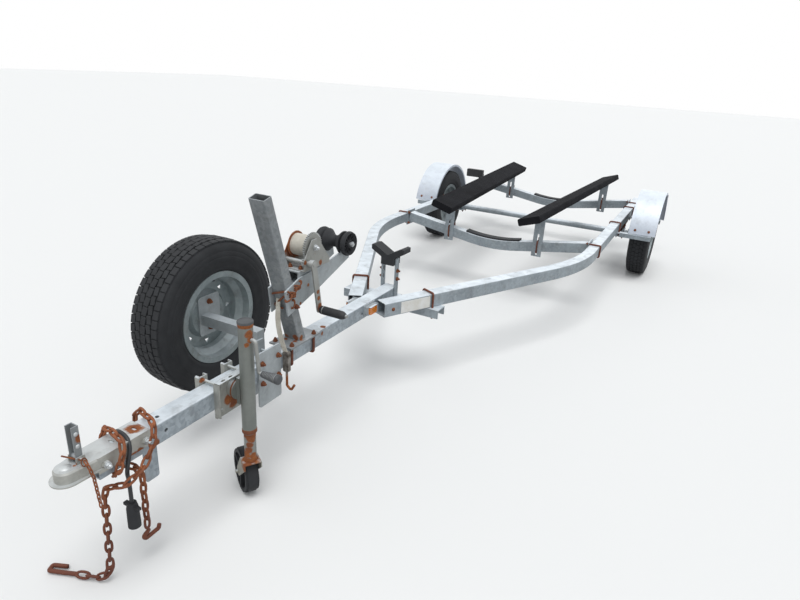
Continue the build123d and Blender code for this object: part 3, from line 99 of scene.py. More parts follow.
class Finish:
    """One finish in the making: its node tree, each point's place on the trailer and the shader."""

    def __init__(self, name, **fixed):
        self.material = bpy.data.materials.new(name)
        self.material.use_nodes = True
        self.tree = self.material.node_tree
        self.shader = self.tree.nodes["Principled BSDF"]
        for socket, value in fixed.items():
            self.shader.inputs[socket.replace("_", " ")].default_value = value
        self.place = self.add("ShaderNodeTexCoord", out="Object")

    def add(self, kind, settings=None, values=None, out=0):
        node = self.tree.nodes.new(kind)
        for name, value in (settings or {}).items():
            setattr(node, name, value)
        for name, value in (values or {}).items():
            if isinstance(value, Signal):
                self.tree.links.new(value.socket, node.inputs[name])
            else:
                node.inputs[name].default_value = value
        return Signal(self, node.outputs[out])

    def grain(self, scale, detail=3.0, stretch=(1, 1, 1), rough=0.55):
        """Noise over the surface, about 0.5 on average; stretch lengthens it along an axis."""
        at = self.place
        if stretch != (1, 1, 1):
            squeeze = [1 / factor for factor in stretch]
            at = self.add("ShaderNodeMapping", None, {"Vector": self.place, "Scale": squeeze})
        values = {"Vector": at, "Scale": scale, "Detail": detail, "Roughness": rough}
        return self.add("ShaderNodeTexNoise", None, values)

    def along(self, axis):
        """Place along one axis, in metres."""
        return self.add("ShaderNodeSeparateXYZ", None, {0: self.place}, out=axis)

    def facing(self, axis):
        """How far the surface faces along one axis, from -1 to 1."""
        normal = self.add("ShaderNodeNewGeometry", out="Normal")
        return self.add("ShaderNodeSeparateXYZ", None, {0: normal}, out=axis)

    def mix(self, factor, low, high):
        """Colour low where factor is 0 and high where it is 1."""
        return self.add("ShaderNodeMix", {"data_type": "RGBA"}, {0: factor, 6: low, 7: high}, out=2)

    def spots(self, places):
        """Mask of blotches with ragged edges round each (x, y, z, radius)."""
        edge = self.grain(70, 4.0) - 0.5
        mask = None
        for x, y, z, radius in places:
            ends = {0: self.place, 1: (x, y, z)}
            gap = self.add("ShaderNodeVectorMath", {"operation": "DISTANCE"}, ends, out="Value")
            spot = ((1.0 - gap / radius + edge) * 3.0).clamped()
            mask = spot if mask is None else mask.over(spot)
        return mask

    def bands(self, axis, places):
        """Mask of ragged bands across an axis, each given by its middle and half width."""
        edge = self.grain(90, 4.0) - 0.5
        mask = None
        for middle, half in places:
            offset = self.along(axis) - middle
            gap = offset.maths("ABSOLUTE", offset, 0.0)
            band = ((1.0 - gap / half + edge) * 3.0).clamped()
            mask = band if mask is None else mask.over(band)
        return mask

    def feed(self, **signals):
        """Joins signals to the shader; Relief is a height in metres for a bump."""
        for socket, signal in signals.items():
            if socket == "Relief":
                heights = {"Strength": 1.0, "Distance": 1.0, "Height": signal}
                bump = self.add("ShaderNodeBump", None, heights)
                self.tree.links.new(bump.socket, self.shader.inputs["Normal"])
            else:
                self.tree.links.new(signal.socket, self.shader.inputs[socket.replace("_", " ")])
        return self.material


floor_paint = Finish("pale_floor", Roughness=0.9, Specular_IOR_Level=0.1)
eye = floor_paint.add("ShaderNodeLightPath", out="Is Camera Ray").over(
    floor_paint.add("ShaderNodeLightPath", out="Is Glossy Ray")
).over(floor_paint.add("ShaderNodeLightPath", out="Is Transmission Ray"))
floor_paint.feed(Base_Color=floor_paint.mix(eye, (0.40, 0.40, 0.41, 1), (0.84, 0.84, 0.83, 1)))
bpy.ops.object.select_all(action="DESELECT")
bpy.ops.mesh.primitive_plane_add(size=80, location=(0, 0, 0))
floor = bpy.context.object
floor.name = "floor"
floor.data.materials.append(floor_paint.material)

surround = bpy.data.worlds.new("surround")
bpy.context.scene.world = surround
surround.use_nodes = True
sky = surround.node_tree
sky.nodes.clear()
seen = sky.nodes.new("ShaderNodeLightPath")
white = sky.nodes.new("ShaderNodeBackground")
dim = sky.nodes.new("ShaderNodeBackground")
either = sky.nodes.new("ShaderNodeMath")
both = sky.nodes.new("ShaderNodeMath")
blend = sky.nodes.new("ShaderNodeMixShader")
exit_node = sky.nodes.new("ShaderNodeOutputWorld")
white.inputs["Color"].default_value = (1, 1, 1, 1)
dim.inputs["Color"].default_value = (0.90, 0.95, 1.0, 1)
dim.inputs["Strength"].default_value = 0.42
either.operation = "MAXIMUM"
both.operation = "MAXIMUM"
sky.links.new(seen.outputs["Is Camera Ray"], either.inputs[0])
sky.links.new(seen.outputs["Is Glossy Ray"], either.inputs[1])
sky.links.new(either.outputs[0], both.inputs[0])
sky.links.new(seen.outputs["Is Transmission Ray"], both.inputs[1])
sky.links.new(both.outputs[0], blend.inputs[0])
sky.links.new(dim.outputs[0], blend.inputs[1])
sky.links.new(white.outputs[0], blend.inputs[2])
sky.links.new(blend.outputs[0], exit_node.inputs["Surface"])

# name, the way it stands off, strength, width of its disc in degrees
for name, place, strength, spread in (
    ("overhead", (0.9, -1.6, 6.0), 1.75, 38),
    ("port_bow", (5.0, -4.0, 2.6), 0.55, 60),
    ("starboard", (-5.0, -2.0, 2.6), 0.25, 60),
    ("astern", (0.6, 6.0, 3.0), 0.45, 60),
):
    lamp = bpy.data.lights.new(name, "SUN")
    lamp.energy = strength
    lamp.angle = math.radians(spread)
    holder = bpy.data.objects.new(name, lamp)
    bpy.context.scene.collection.objects.link(holder)
    holder.rotation_euler = (-Vector(place)).to_track_quat("-Z", "Y").to_euler()

# Lighting cable: black rubber lead looped once over the tongue, with a round moulded plug.
# It hangs at the port side of the tongue between the two safety chains.
rubber_lead = Finish("rubber_lead", Roughness=0.5)
dust = rubber_lead.grain(30)
rubber_lead.feed(
    Base_Color=rubber_lead.mix(dust, (0.010, 0.011, 0.013, 1), (0.035, 0.037, 0.042, 1)),
    Relief=rubber_lead.grain(900, 2) * 0.0001,
)
lead_route = (
    (-0.014, -2.2415, 0.346),
    (-0.046, -2.2535, 0.350),
    (-0.044, -2.2655, 0.4324),
    (0.044, -2.2765, 0.4324),
    (0.044, -2.3035, 0.350),
    (0.030, -2.2895, 0.312),
    (0.030, -2.2905, 0.236),
)
lead_line = bpy.data.curves.new("lighting_lead", "CURVE")
lead_line.dimensions = "3D"
lead_line.bevel_depth = 0.0055
lead_line.bevel_resolution = 5
lead_line.resolution_u = 12
lead_line.use_fill_caps = True
run = lead_line.splines.new("NURBS")
run.points.add(len(lead_route) - 1)
for point, at in zip(run.points, lead_route):
    point.co = (*at, 1)
run.order_u = 3
run.use_endpoint_u = True
lead = bpy.data.objects.new("lighting_lead", lead_line)
bpy.context.scene.collection.objects.link(lead)
lead_line.materials.append(rubber_lead.material)
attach(lead, "frame")
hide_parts("cable")


# Galvanised steel: tongue, rails, cross members, brackets, mast and fenders, dipped after welding.
# Cold grey-blue with a fine spangle, paler on top from white bloom and a painted highlight, and
# rust-stained where water sits.
def rusty_colour(finish):
    """Orange to dark brown scale."""
    fine = finish.grain(160, 4, rough=0.7)
    broad = finish.grain(28, 4)
    orange = (0.45, 0.155, 0.036, 1)
    colour = finish.mix((fine * 1.8 - 0.4).clamped(), (0.14, 0.038, 0.014, 1), orange)
    return finish.mix((broad * 2.6 - 0.9).clamped(), colour, (0.17, 0.050, 0.022, 1))


def galvanised(name, pale, dark, rust=(), bands=(), grime=0.35, spangle=0.5, metal=0.35, bloom_and_top_highlight=0.6):
    """Zinc over steel; rust lists blotches and bands lists ragged rings across the height."""
    zinc = Finish(name)
    spangles = {"Vector": zinc.place, "Scale": 95.0}
    flakes = zinc.add("ShaderNodeTexVoronoi", None, spangles, out="Color")
    flake = zinc.add("ShaderNodeRGBToBW", None, {0: flakes})
    cloud = zinc.grain(7, 4)
    drips = zinc.grain(34, 3, (1, 1, 6))
    tone = (flake * spangle + cloud * 0.9 + drips * 0.35 - 0.3 * spangle - 0.25).clamped()
    colour = zinc.mix(tone, dark, pale)
    # Upward faces are lightened toward pale blue-white: partly white bloom, partly a painted
    # highlight where light falls from above.
    top = (zinc.facing("Z") * 1.6 - 0.5).clamped()
    chalk = (top * (zinc.grain(16, 5) * 1.5 + 0.1)).clamped() * bloom_and_top_highlight
    colour = zinc.mix(chalk, colour, (0.76, 0.82, 0.87, 1))
    dirt = ((zinc.grain(22, 6, rough=0.65) - 0.52) * 5.0).clamped() * grime
    colour = zinc.mix(dirt, colour, (0.17, 0.16, 0.145, 1))
    rough = 0.40 + cloud * 0.22 + dirt * 0.4
    relief = flake * 0.00002 + zinc.grain(260, 3) * 0.00012
    stain = None
    if rust:
        stain = zinc.spots(rust)
    if bands:
        ring = zinc.bands("Z", bands)
        stain = ring if stain is None else stain.over(ring)
    if stain is None:
        zinc.shader.inputs["Metallic"].default_value = metal
    else:
        colour = zinc.mix(stain, colour, rusty_colour(zinc))
        rough = rough + stain * 0.3
        relief = relief + stain * zinc.grain(420, 4) * 0.0004
        zinc.feed(Metallic=(1.0 - stain) * metal)
    return zinc.feed(Base_Color=colour, Roughness=rough, Relief=relief)


def paint(material, *names):
    """Gives CAD nodes a finish."""
    for name in names:
        nodes[name].data.materials.clear()
        nodes[name].data.materials.append(material)


tongue_zinc = galvanised(
    "tongue_zinc",
    (0.50, 0.56, 0.60, 1),
    (0.20, 0.235, 0.265, 1),
    rust=(
        (0.033, -2.196, 0.372, 0.012),
        (0.0, -1.66, 0.424, 0.018),
        (0.02, -1.405, 0.424, 0.013),
        (0.034, -1.425, 0.405, 0.009),
        (0.034, -1.90, 0.36, 0.018),
    ),
    bloom_and_top_highlight=0.95,
)
frame_zinc = galvanised(
    "frame_zinc",
    (0.45, 0.505, 0.54, 1),
    (0.19, 0.222, 0.245, 1),
    spangle=0.35,
    bloom_and_top_highlight=0.95,
)
paint(tongue_zinc, "tongue")
paint(
    frame_zinc,
    "rail_port",
    "rail_starboard",
    "crossmember_front",
    "crossmember_rear",
    "crossmember_plates",
    "tongue_channel",
    "axle",
    "spring_hangers",
    "axle_clamps",
    "fender_arms",
    "bunk_brackets",
    "keel_posts",
)


# Nuts and bolts: steel nuts on threaded stubs, each standing on a washer, and round bolt heads.
# Both models stand on z = 0 and are copied to each U-bolt, clamp and bracket that they hold.
def lone():
    """Leaves object mode with nothing selected, ready for the next piece."""
    if bpy.context.object and bpy.context.object.mode != "OBJECT":
        bpy.ops.object.mode_set(mode="OBJECT")
    bpy.ops.object.select_all(action="DESELECT")


def pick(piece):
    """Selects one piece alone."""
    lone()
    piece.select_set(True)
    bpy.context.view_layer.objects.active = piece


def loose(piece, name, material, body, smooth):
    """Bakes a piece's place into its mesh, names it and gives it a finish and a body."""
    pick(piece)
    piece.name = name
    bpy.ops.object.transform_apply(location=True, rotation=True, scale=True)
    piece.data.materials.clear()
    piece.data.materials.append(material)
    bpy.ops.object.shade_smooth_by_angle(angle=math.radians(smooth))
    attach(piece, body)


def turned(profile, facets, place=(0, 0, 0), facing=(0, 0, 1), caps=True):
    """Lathe work: a ring at the first (height, radius), extruded and resized to each next one."""
    lone()
    height, radius = profile[0]
    bpy.ops.mesh.primitive_circle_add(
        vertices=facets, radius=radius, fill_type="NOTHING", location=(0, 0, height)
    )
    piece = bpy.context.object
    bpy.ops.object.mode_set(mode="EDIT")
    bpy.ops.mesh.select_all(action="SELECT")
    for (low, before), (high, after) in zip(profile, profile[1:]):
        grow = after / before
        bpy.ops.mesh.extrude_region_move(TRANSFORM_OT_translate={"value": (0, 0, high - low)})
        bpy.ops.transform.resize(value=(grow, grow, 1), center_override=(0, 0, high))
    bpy.ops.mesh.select_all(action="SELECT")
    bpy.ops.mesh.remove_doubles(threshold=1e-6)
    if caps:
        bpy.ops.mesh.select_all(action="DESELECT")
        bpy.ops.mesh.select_non_manifold()
        bpy.ops.mesh.fill_holes(sides=0)
    bpy.ops.mesh.select_all(action="SELECT")
    bpy.ops.mesh.normals_make_consistent(inside=False)
    bpy.ops.object.mode_set(mode="OBJECT")
    bpy.ops.object.transform_apply(location=True, rotation=True, scale=True)
    piece.rotation_euler = Vector(facing).to_track_quat("Z", "Y").to_euler()
    piece.location = place
    return piece


def joined(pieces):
    """Makes several pieces one mesh."""
    lone()
    for piece in pieces:
        piece.select_set(True)
    bpy.context.view_layer.objects.active = pieces[0]
    bpy.ops.object.transform_apply(location=True, rotation=True, scale=True)
    if len(pieces) > 1:
        bpy.ops.object.join()
    return bpy.context.object


def copies(model, seats):
    """A model copied to each seat, (place, the way its own Z faces, scale), and joined."""
    made = []
    for place, facing, size in seats:
        twin = model.copy()
        twin.data = model.data.copy()
        bpy.context.scene.collection.objects.link(twin)
        twin.location = place
        twin.rotation_euler = Vector(facing).to_track_quat("Z", "Y").to_euler()
        twin.scale = (size, size, size)
        made.append(twin)
    return joined(made)


crest, root, first_ring, half_pitch = 0.0046, 0.0041, 0.0078, 0.0009
thread = [(first_ring, crest)]
for turn in range(7):
    thread.append((first_ring + half_pitch * turn, crest if turn % 2 else root))
thread.append((0.0148, 0.0036))
nut_half = 0.0083
chamfer = nut_half * 0.94
washer = turned([(0, 0.0095), (0.0013, 0.0095), (0.0016, 0.0091)], 28)
hexagon = turned([(0.0016, chamfer), (0.0022, nut_half), (0.0074, nut_half), (0.0080, chamfer)], 6)
stub = turned(thread, 16)
nut = joined([washer, hexagon, stub])
dome_profile = [(0, 0.0100), (0.0012, 0.0100), (0.0032, 0.0085), (0.0046, 0.0058), (0.0052, 0.0025)]
dome = turned(dome_profile, 24)
old_rust = Finish("old_rust", Metallic=0.0)
scale = old_rust.grain(60, 6, rough=0.7)
old_rust.feed(
    Base_Color=old_rust.mix(scale * 0.6 + 0.2, rusty_colour(old_rust), (0.13, 0.048, 0.028, 1)),
    Roughness=0.75 + scale * 0.2,
    Relief=old_rust.grain(420, 5) * 0.0006,
)
# port and starboard, the axle's line and the spare wheel's
sides = (1, -1)
axle_y, axle_z = 1.6265, 0.283
spare_y, spare_z = -1.6665, 0.488
seats = []
for side in sides:
    for y in (0.5438, 2.1638):
        seats += [((side * 0.622, y, z), (-side, 0, 0), 1) for z in (0.3486, 0.4219)]
    for x in (0.6230, 0.6965):
        seats += [((side * x, y, 0.3485), (0, 0, -1), 1) for y in (1.2985, 1.9545)]
    seats += [((side * 0.3082, 0.6232, z), (0, 1, 0), 0.9) for z in (0.3036, 0.3790)]
    seats += [((side * 0.4094, 2.2432, z), (0, 1, 0), 0.9) for z in (0.3297, 0.4051)]
    for x, y in ((0.1473, -0.7892), (0.2130, -0.8218)):
        seats.append(((side * x, y, 0.3475), (0, 0, -1), 1))
    seats += [((side * 0.0367, y, 0.429), (0, 0, 1), 0.95) for y in (-1.6135, -1.4855)]
    seats += [((side * 0.03675, -0.8495, z), (side, 0, 0), 1) for z in (0.463, 0.501)]
    for y in (-1.7715, -1.6915):
        seats += [((side * 0.03775, y, z), (side, 0, 0), 1) for z in (0.4278, 0.3547)]
seats += [((-0.292, spare_y, spare_z + rise), (1, 0, 0), 1.1) for rise in (-0.05, 0.05)]
loose(copies(nut, seats), "frame_nuts", old_rust.material, "frame", 30)
seats = []
for side in sides:
    for x in (0.6302, 0.6892):
        for y in (1.5945, 1.6585):
            seats.append(((side * x, y, 0.3303), (0, 0, 1), 0.85))
            seats.append(((side * x, y, 0.2547), (0, 0, -1), 0.85))
loose(copies(nut, seats), "spring_nuts", old_rust.material, "frame", 30)
fender_radius = 0.338
fender_lift = math.radians(17.6)
seats = []
for side in sides:
    for end in (1, -1):
        outward = Vector((0, end * math.cos(fender_lift), math.sin(fender_lift)))
        for x in (0.800, 0.892):
            hub = Vector((side * x, axle_y, axle_z))
            seats.append((hub + outward * fender_radius, outward, 0.9))
loose(copies(dome, seats), "fender_bolts", old_rust.material, "frame", 30)

# Coupler: pressed steel socket and sleeve, bolted over the tongue, with its latch lever on a pin.
# Pale yellowish zinc, lightest on the hood from white bloom and a painted highlight, rusty round the
# slot and along the sleeve's lower edge.
coupler_zinc = galvanised(
    "coupler_zinc",
    (0.62, 0.62, 0.57, 1),
    (0.25, 0.25, 0.235, 1),
    rust=(
        (0.0, -2.2355, 0.427, 0.026),
        (0.036, -2.250, 0.378, 0.013),
        (0.036, -2.268, 0.377, 0.013),
        (0.036, -2.286, 0.377, 0.013),
        (0.036, -2.304, 0.379, 0.012),
        (0.012, -2.412, 0.430, 0.007),
    ),
    spangle=0.15,
    metal=0.6,
    bloom_and_top_highlight=0.5,
)
latch_zinc = galvanised(
    "latch_zinc",
    (0.38, 0.40, 0.41, 1),
    (0.17, 0.185, 0.19, 1),
    rust=((0.0125, -2.392, 0.492, 0.012),),
    spangle=0.1,
    bloom_and_top_highlight=0.3,
)
paint(coupler_zinc, "coupler")
paint(latch_zinc, "coupler_latch")
bright_zinc = galvanised(
    "bright_zinc",
    (0.66, 0.68, 0.68, 1),
    (0.38, 0.40, 0.41, 1),
    spangle=0.1,
    metal=0.6,
    grime=0.5,
)
latch_y = -2.3975
seats = []
for side in sides:
    seats += [((side * 0.0122, latch_y, z), (side, 0, 0), 0.55) for z in (0.472, 0.506)]
loose(copies(dome, seats), "latch_rivets", bright_zinc, "coupler_latch", 30)
seats = []
for side in sides:
    seats += [((side * 0.04255, y, 0.401), (side, 0, 0), 1) for y in (-2.3495, -2.2315)]
loose(copies(nut, seats), "coupler_nuts", bright_zinc, "frame", 30)

# Latch pin: wire pin laid across the coupler's neck, with the ring that its thin chain hangs from.
# Bare steel, rusted orange; it lies across the ears that carry the latch.
lone()
bpy.ops.mesh.primitive_torus_add(
    major_segments=40,
    minor_segments=10,
    major_radius=0.0075,
    minor_radius=0.0013,
    location=(0.0285, latch_y, 0.4335),
)
ring = bpy.context.object
ring.rotation_euler = (0, math.radians(74), 0)
ring.scale = (1.35, 1, 1)
pin_profile = [(0, 0.0012), (0.0006, 0.0021), (0.058, 0.0021), (0.0586, 0.0012)]
pin_bar = turned(pin_profile, 14, (-0.031, -2.4150, 0.4385), (1, 0.28, 0.0))
loose(joined([ring, pin_bar]), "latch_pin", old_rust.material, "frame", 60)

# Safety chains: two welded steel chains hanging behind the coupler, with their hooks.
# Rusted, brightest above; every link is threaded through the next, and rounded here.
chain_rust = Finish("chain_rust", Metallic=0.1)
wear = chain_rust.grain(45, 5)
low = ((0.30 - chain_rust.along("Z")) * 6.0).clamped()
rubbed = (wear * 1.8 - 0.4).clamped()
chain_tone = chain_rust.mix(rubbed, (0.12, 0.038, 0.019, 1), (0.40, 0.135, 0.052, 1))
chain_rust.feed(
    Base_Color=chain_rust.mix(low * 0.75, chain_tone, (0.105, 0.033, 0.024, 1)),
    Roughness=0.62 + wear * 0.3,
    Relief=chain_rust.grain(500, 4) * 0.0004,
)
links = nodes["safety_chains"].copy()
links.data = nodes["safety_chains"].data.copy()
bpy.context.scene.collection.objects.link(links)
pick(links)
bpy.ops.object.mode_set(mode="EDIT")
bpy.ops.mesh.select_all(action="SELECT")
bpy.ops.mesh.remove_doubles(threshold=2e-5)
bpy.ops.mesh.tris_convert_to_quads(
    face_threshold=math.radians(30), shape_threshold=math.radians(60)
)
bpy.ops.object.mode_set(mode="OBJECT")
rounding = links.modifiers.new("rounding", "SUBSURF")
rounding.levels = rounding.render_levels = 1
bpy.ops.object.modifier_apply(modifier="rounding")
bpy.ops.object.mode_set(mode="EDIT")
bpy.ops.mesh.select_all(action="SELECT")
bpy.ops.transform.shrink_fatten(value=0.00045)
bpy.ops.object.mode_set(mode="OBJECT")
loose(links, "chain_links", chain_rust.material, "frame", 60)
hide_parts("safety_chains")

# Galvanised wheels: rolled rims with pressed discs, a dust cap on each hub, five nuts and a valve.
# Dulled by salt water to a greenish grey, dirty in the drop of the rim.
rim_zinc = galvanised(
    "rim_zinc",
    (0.40, 0.455, 0.46, 1),
    (0.17, 0.205, 0.215, 1),
    spangle=0.2,
    grime=0.6,
    bloom_and_top_highlight=0.4,
)
paint(rim_zinc, "wheel_port", "wheel_starboard", "spare_rim")
wheel_x, spare_x = 0.837, -0.302
lug_circle = 0.0571
lug_profile = [(0, 0.0088), (0.004, 0.0104), (0.0145, 0.0104), (0.0175, 0.0088), (0.018, 0.0055)]
lug = turned(lug_profile, 6)
cap_profile = [
    (0.0, 0.0352), (0.004, 0.0352), (0.005, 0.0325), (0.018, 0.0318),
    (0.022, 0.0290), (0.0238, 0.0200), (0.0242, 0.0060),
]
valve_profile = [
    (0, 0.0058), (0.012, 0.0052), (0.016, 0.0036), (0.030, 0.0036),
    (0.031, 0.0044), (0.038, 0.0044), (0.0388, 0.003),
]
valve = turned(valve_profile, 16)
for side, body in ((1, "wheel_port"), (-1, "wheel_starboard")):
    seats = []
    for number in range(5):
        turn = math.radians(72 * number + 18)
        around = (axle_y + lug_circle * math.cos(turn), axle_z + lug_circle * math.sin(turn))
        seats.append(((side * 0.841, *around), (side, 0, 0), 1))
    loose(copies(lug, seats), f"{body}_lugs", bright_zinc, body, 30)
    dust_cap = turned(cap_profile, 40, (side * 0.8600, axle_y, axle_z), (side, 0, 0))
    loose(dust_cap, f"{body}_cap", bright_zinc, body, 35)
valve_rubber = Finish("valve_rubber", Base_Color=(0.02, 0.02, 0.022, 1), Roughness=0.6)
valve_rubber.feed(Roughness=0.5 + valve_rubber.grain(90) * 0.3)
for x, y, z, side, body in (
    (wheel_x, axle_y, axle_z, 1, "wheel_port"),
    (-wheel_x, axle_y, axle_z, -1, "wheel_starboard"),
    (spare_x, spare_y, spare_z, 1, "frame"),
):
    seats = [((x + side * 0.012, y, z + 0.128), (side, 0, 0.25), 0.8)]
    name = f"valve_{body}_{1 if x > 0 else 2}"
    loose(copies(valve, seats), name, valve_rubber.material, body, 35)


# Road tyres: bulged sidewalls with moulded rings, and a tread of five ribs cut into blocks.
# Black rubber, greyed by sun and dust; one pitch of blocks is modelled and set round the tyre.
def box(place, size, bevel, segments):
    """A block at its place and size with its edges bevelled."""
    lone()
    bpy.ops.mesh.primitive_cube_add(size=1, location=place)
    block = bpy.context.object
    block.scale = size
    bpy.ops.object.transform_apply(location=False, rotation=False, scale=True)
    bpy.ops.object.mode_set(mode="EDIT")
    bpy.ops.mesh.select_all(action="SELECT")
    bpy.ops.mesh.bevel(offset=bevel, segments=segments, affect="EDGES")
    bpy.ops.object.mode_set(mode="OBJECT")
    return block


tyre_rubber = Finish("tyre_rubber", Specular_IOR_Level=0.35)
bloom = tyre_rubber.grain(18, 5)
chalk = tyre_rubber.grain(240, 3)
greyed = (bloom * 1.6 - 0.3).clamped()
tyre_rubber.feed(
    Base_Color=tyre_rubber.mix(greyed, (0.008, 0.009, 0.011, 1), (0.034, 0.036, 0.039, 1)),
    Roughness=0.62 + bloom * 0.25,
    Relief=chalk * 0.00018,
)
wall_half = [
    (0.0580, 0.1700), (0.0612, 0.1725), (0.0655, 0.1800), (0.0668, 0.1860), (0.0662, 0.1885),
    (0.0700, 0.2020), (0.0719, 0.2150), (0.0721, 0.2230), (0.0712, 0.2250), (0.0716, 0.2270),
    (0.0700, 0.2400), (0.0690, 0.2425), (0.0694, 0.2450), (0.0660, 0.2580), (0.0610, 0.2680),
    (0.0545, 0.2755), (0.0300, 0.2765),
]
tyre_profile = [(-x, r) for x, r in wall_half] + [(x, r) for x, r in reversed(wall_half)]
tyre_profile += [
    (0.0565, 0.1565), (0.0300, 0.1535), (-0.0300, 0.1535), (-0.0565, 0.1565), (-0.0580, 0.1700),
]
carcass = turned(tyre_profile, 96, caps=False)
tread_pitches = 56
block_depth = 0.0120
blocks = []
# across the tyre, along it, width, length, slant in degrees, height of the top
for across, shift, width, length, slant, top in (
    (-0.0480, 0.0, 0.0225, 0.0282, 0, 0.2797),
    (-0.0240, 0.012, 0.0190, 0.0290, 8, 0.2817),
    (0.0, 0.004, 0.0225, 0.0298, -6, 0.2824),
    (0.0240, 0.012, 0.0190, 0.0290, 8, 0.2817),
    (0.0480, 0.0, 0.0225, 0.0282, 0, 0.2797),
):
    block = box((0, 0, 0), (width, length, block_depth), 0.0012, 1)
    cant = math.copysign(math.radians(6), across) if abs(across) > 0.04 else 0
    block.rotation_euler = (0, cant, math.radians(slant))
    block.location = (across, shift, top - block_depth / 2)
    blocks.append(block)
pitch = joined(blocks)
ring_turn = bpy.data.objects.new("ring_turn", None)
bpy.context.scene.collection.objects.link(ring_turn)
ring_turn.rotation_euler = (2 * math.pi / tread_pitches, 0, 0)
array = pitch.modifiers.new("ring", "ARRAY")
array.count = tread_pitches
array.use_relative_offset = False
array.use_object_offset = True
array.offset_object = ring_turn
bpy.context.view_layer.update()
pick(pitch)
bpy.ops.object.modifier_apply(modifier="ring")
bpy.data.objects.remove(ring_turn)
carcass.rotation_euler = (0, math.radians(90), 0)
tyre_model = joined([carcass, pitch])
for place, name, body in (
    ((wheel_x, axle_y, axle_z), "tyre_port", "wheel_port"),
    ((-wheel_x, axle_y, axle_z), "tyre_starboard", "wheel_starboard"),
    ((spare_x, spare_y, spare_z), "spare_tyre", "frame"),
):
    tyre = tyre_model.copy()
    tyre.data = tyre_model.data.copy()
    bpy.context.scene.collection.objects.link(tyre)
    tyre.location = place
    loose(tyre, f"{name}_road", tyre_rubber.material, body, 30)
    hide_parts(name)
bpy.data.objects.remove(tyre_model)

# Fenders: rolled galvanised sheet with turned edges, bolted to channels under the rails.
# The palest zinc on the trailer, with white bloom and a painted highlight on top.
fender_zinc = galvanised(
    "fender_zinc",
    (0.66, 0.70, 0.77, 1),
    (0.44, 0.49, 0.56, 1),
    spangle=0.25,
    grime=0.2,
    bloom_and_top_highlight=0.8,
)
paint(fender_zinc, "fender_port", "fender_starboard")

# Lamps: amber lenses in zinc-coloured bases beside the tongue, red ones in black bases astern.
# Ribbed moulded plastic, screwed to galvanised brackets.
black_plastic = Finish("black_plastic", Specular_IOR_Level=0.4)
scuff = black_plastic.grain(40, 4)
black_base = black_plastic.mix(scuff, (0.010, 0.010, 0.011, 1), (0.040, 0.041, 0.044, 1))
zinc_tab = black_plastic.mix(scuff, (0.20, 0.22, 0.23, 1), (0.52, 0.56, 0.58, 1))
forward = (black_plastic.along("Y") * -10.0).clamped()
black_plastic.feed(
    Base_Color=black_plastic.mix(forward, black_base, zinc_tab),
    Roughness=0.45 + scuff * 0.25,
    Relief=black_plastic.grain(800, 2) * 0.00008,
)
paint(black_plastic.material, "lamp_housings")
for name, colour, deep, lens in (
    ("amber_lens", (0.86, 0.30, 0.035, 1), (0.60, 0.15, 0.012, 1), "marker_lenses"),
    ("red_lens", (0.52, 0.018, 0.014, 1), (0.26, 0.008, 0.008, 1), "tail_lenses"),
):
    moulded = Finish(name, Coat_Weight=0.5, Roughness=0.2)
    waves = {"Vector": moulded.place, "Scale": 40.0}
    across_rib = moulded.add("ShaderNodeTexWave", {"bands_direction": "Z"}, waves, out=1)
    moulded.feed(
        Base_Color=moulded.mix(across_rib, deep, colour),
        Roughness=0.16 + moulded.grain(60) * 0.2,
        Relief=across_rib * 0.0006,
    )
    paint(moulded.material, lens)

# Marker lamp brackets: folded galvanised strip, each bolted to the tongue's side behind its lamp.
# The round bolt heads at the rails' noses are set with theirs.
rail_nose_x, rail_nose_y = 0.0652, -1.0375
aft_x, aft_y = 0.4445, 0.8958


def rail_side(along, out, side=1):
    """Place beside a rail, measured along it from its nose and out from its middle."""
    x = rail_nose_x + along * aft_x + out * aft_y
    y = rail_nose_y + along * aft_y - out * aft_x
    return (side * x, y)


for side, name in ((1, "port"), (-1, "starboard")):
    strips = [
        box((side * 0.0480, -1.0600, 0.395), (0.0325, 0.0030, 0.046), 0.0008, 2),
        box((side * 0.0334, -1.0500, 0.395), (0.0030, 0.0230, 0.046), 0.0008, 2),
        box((side * 0.0470, -1.0890, 0.4125), (0.0300, 0.0560, 0.0022), 0.0006, 2),
    ]
    loose(joined(strips), f"marker_bracket_{name}", frame_zinc, "frame", 35)
seats = [((side * 0.0349, -1.0480, 0.395), (side, 0, 0), 0.8) for side in sides]
for side in sides:
    seats.append(((*rail_side(0.045, 0.0317, side), 0.3850), (side * aft_y, -aft_x, 0), 0.85))
loose(copies(dome, seats), "nose_bolts", old_rust.material, "frame", 30)

# Bunks: boards wrapped in black marine carpet, bolted to their brackets.
# Worn grey in patches where the hull rubs.
carpet = Finish("marine_carpet", Roughness=0.95, Specular_IOR_Level=0.1)
tuft = carpet.grain(420, 4)
worn = carpet.grain(9, 4)
pale_tuft = (tuft * 0.8 + worn * 0.9 - 0.4).clamped()
carpet.feed(
    Base_Color=carpet.mix(pale_tuft, (0.004, 0.004, 0.005, 1), (0.026, 0.027, 0.031, 1)),
    Relief=tuft * 0.002,
)
paint(carpet.material, "bunk_port", "bunk_starboard")


# Keel block and pads: black rubber, bolted between two posts and bonded to the cross members.
# The bow roller, the lighting plug and the caster wheel have the same finish.
def mottled(name, mottle, dark, pale, rough, relief, specular):
    """Rubber or plastic: one mottle sets colour and roughness, and a finer grain the relief."""
    finish = Finish(name, Specular_IOR_Level=specular)
    patches = finish.grain(*mottle)
    smoothest, spread = rough
    scale, detail, height = relief
    return finish.feed(
        Base_Color=finish.mix(patches, dark, pale),
        Roughness=smoothest + patches * spread,
        Relief=finish.grain(scale, detail) * height,
    )


rubber = mottled(
    "weathered_rubber",
    (24, 5),
    (0.008, 0.009, 0.011, 1),
    (0.040, 0.042, 0.046, 1),
    rough=(0.6, 0.25),
    relief=(700, 3, 0.0002),
    specular=0.35,
)
paint(rubber, "keel_pads", "keel_block", "bow_roller", "plug", "caster_wheel")

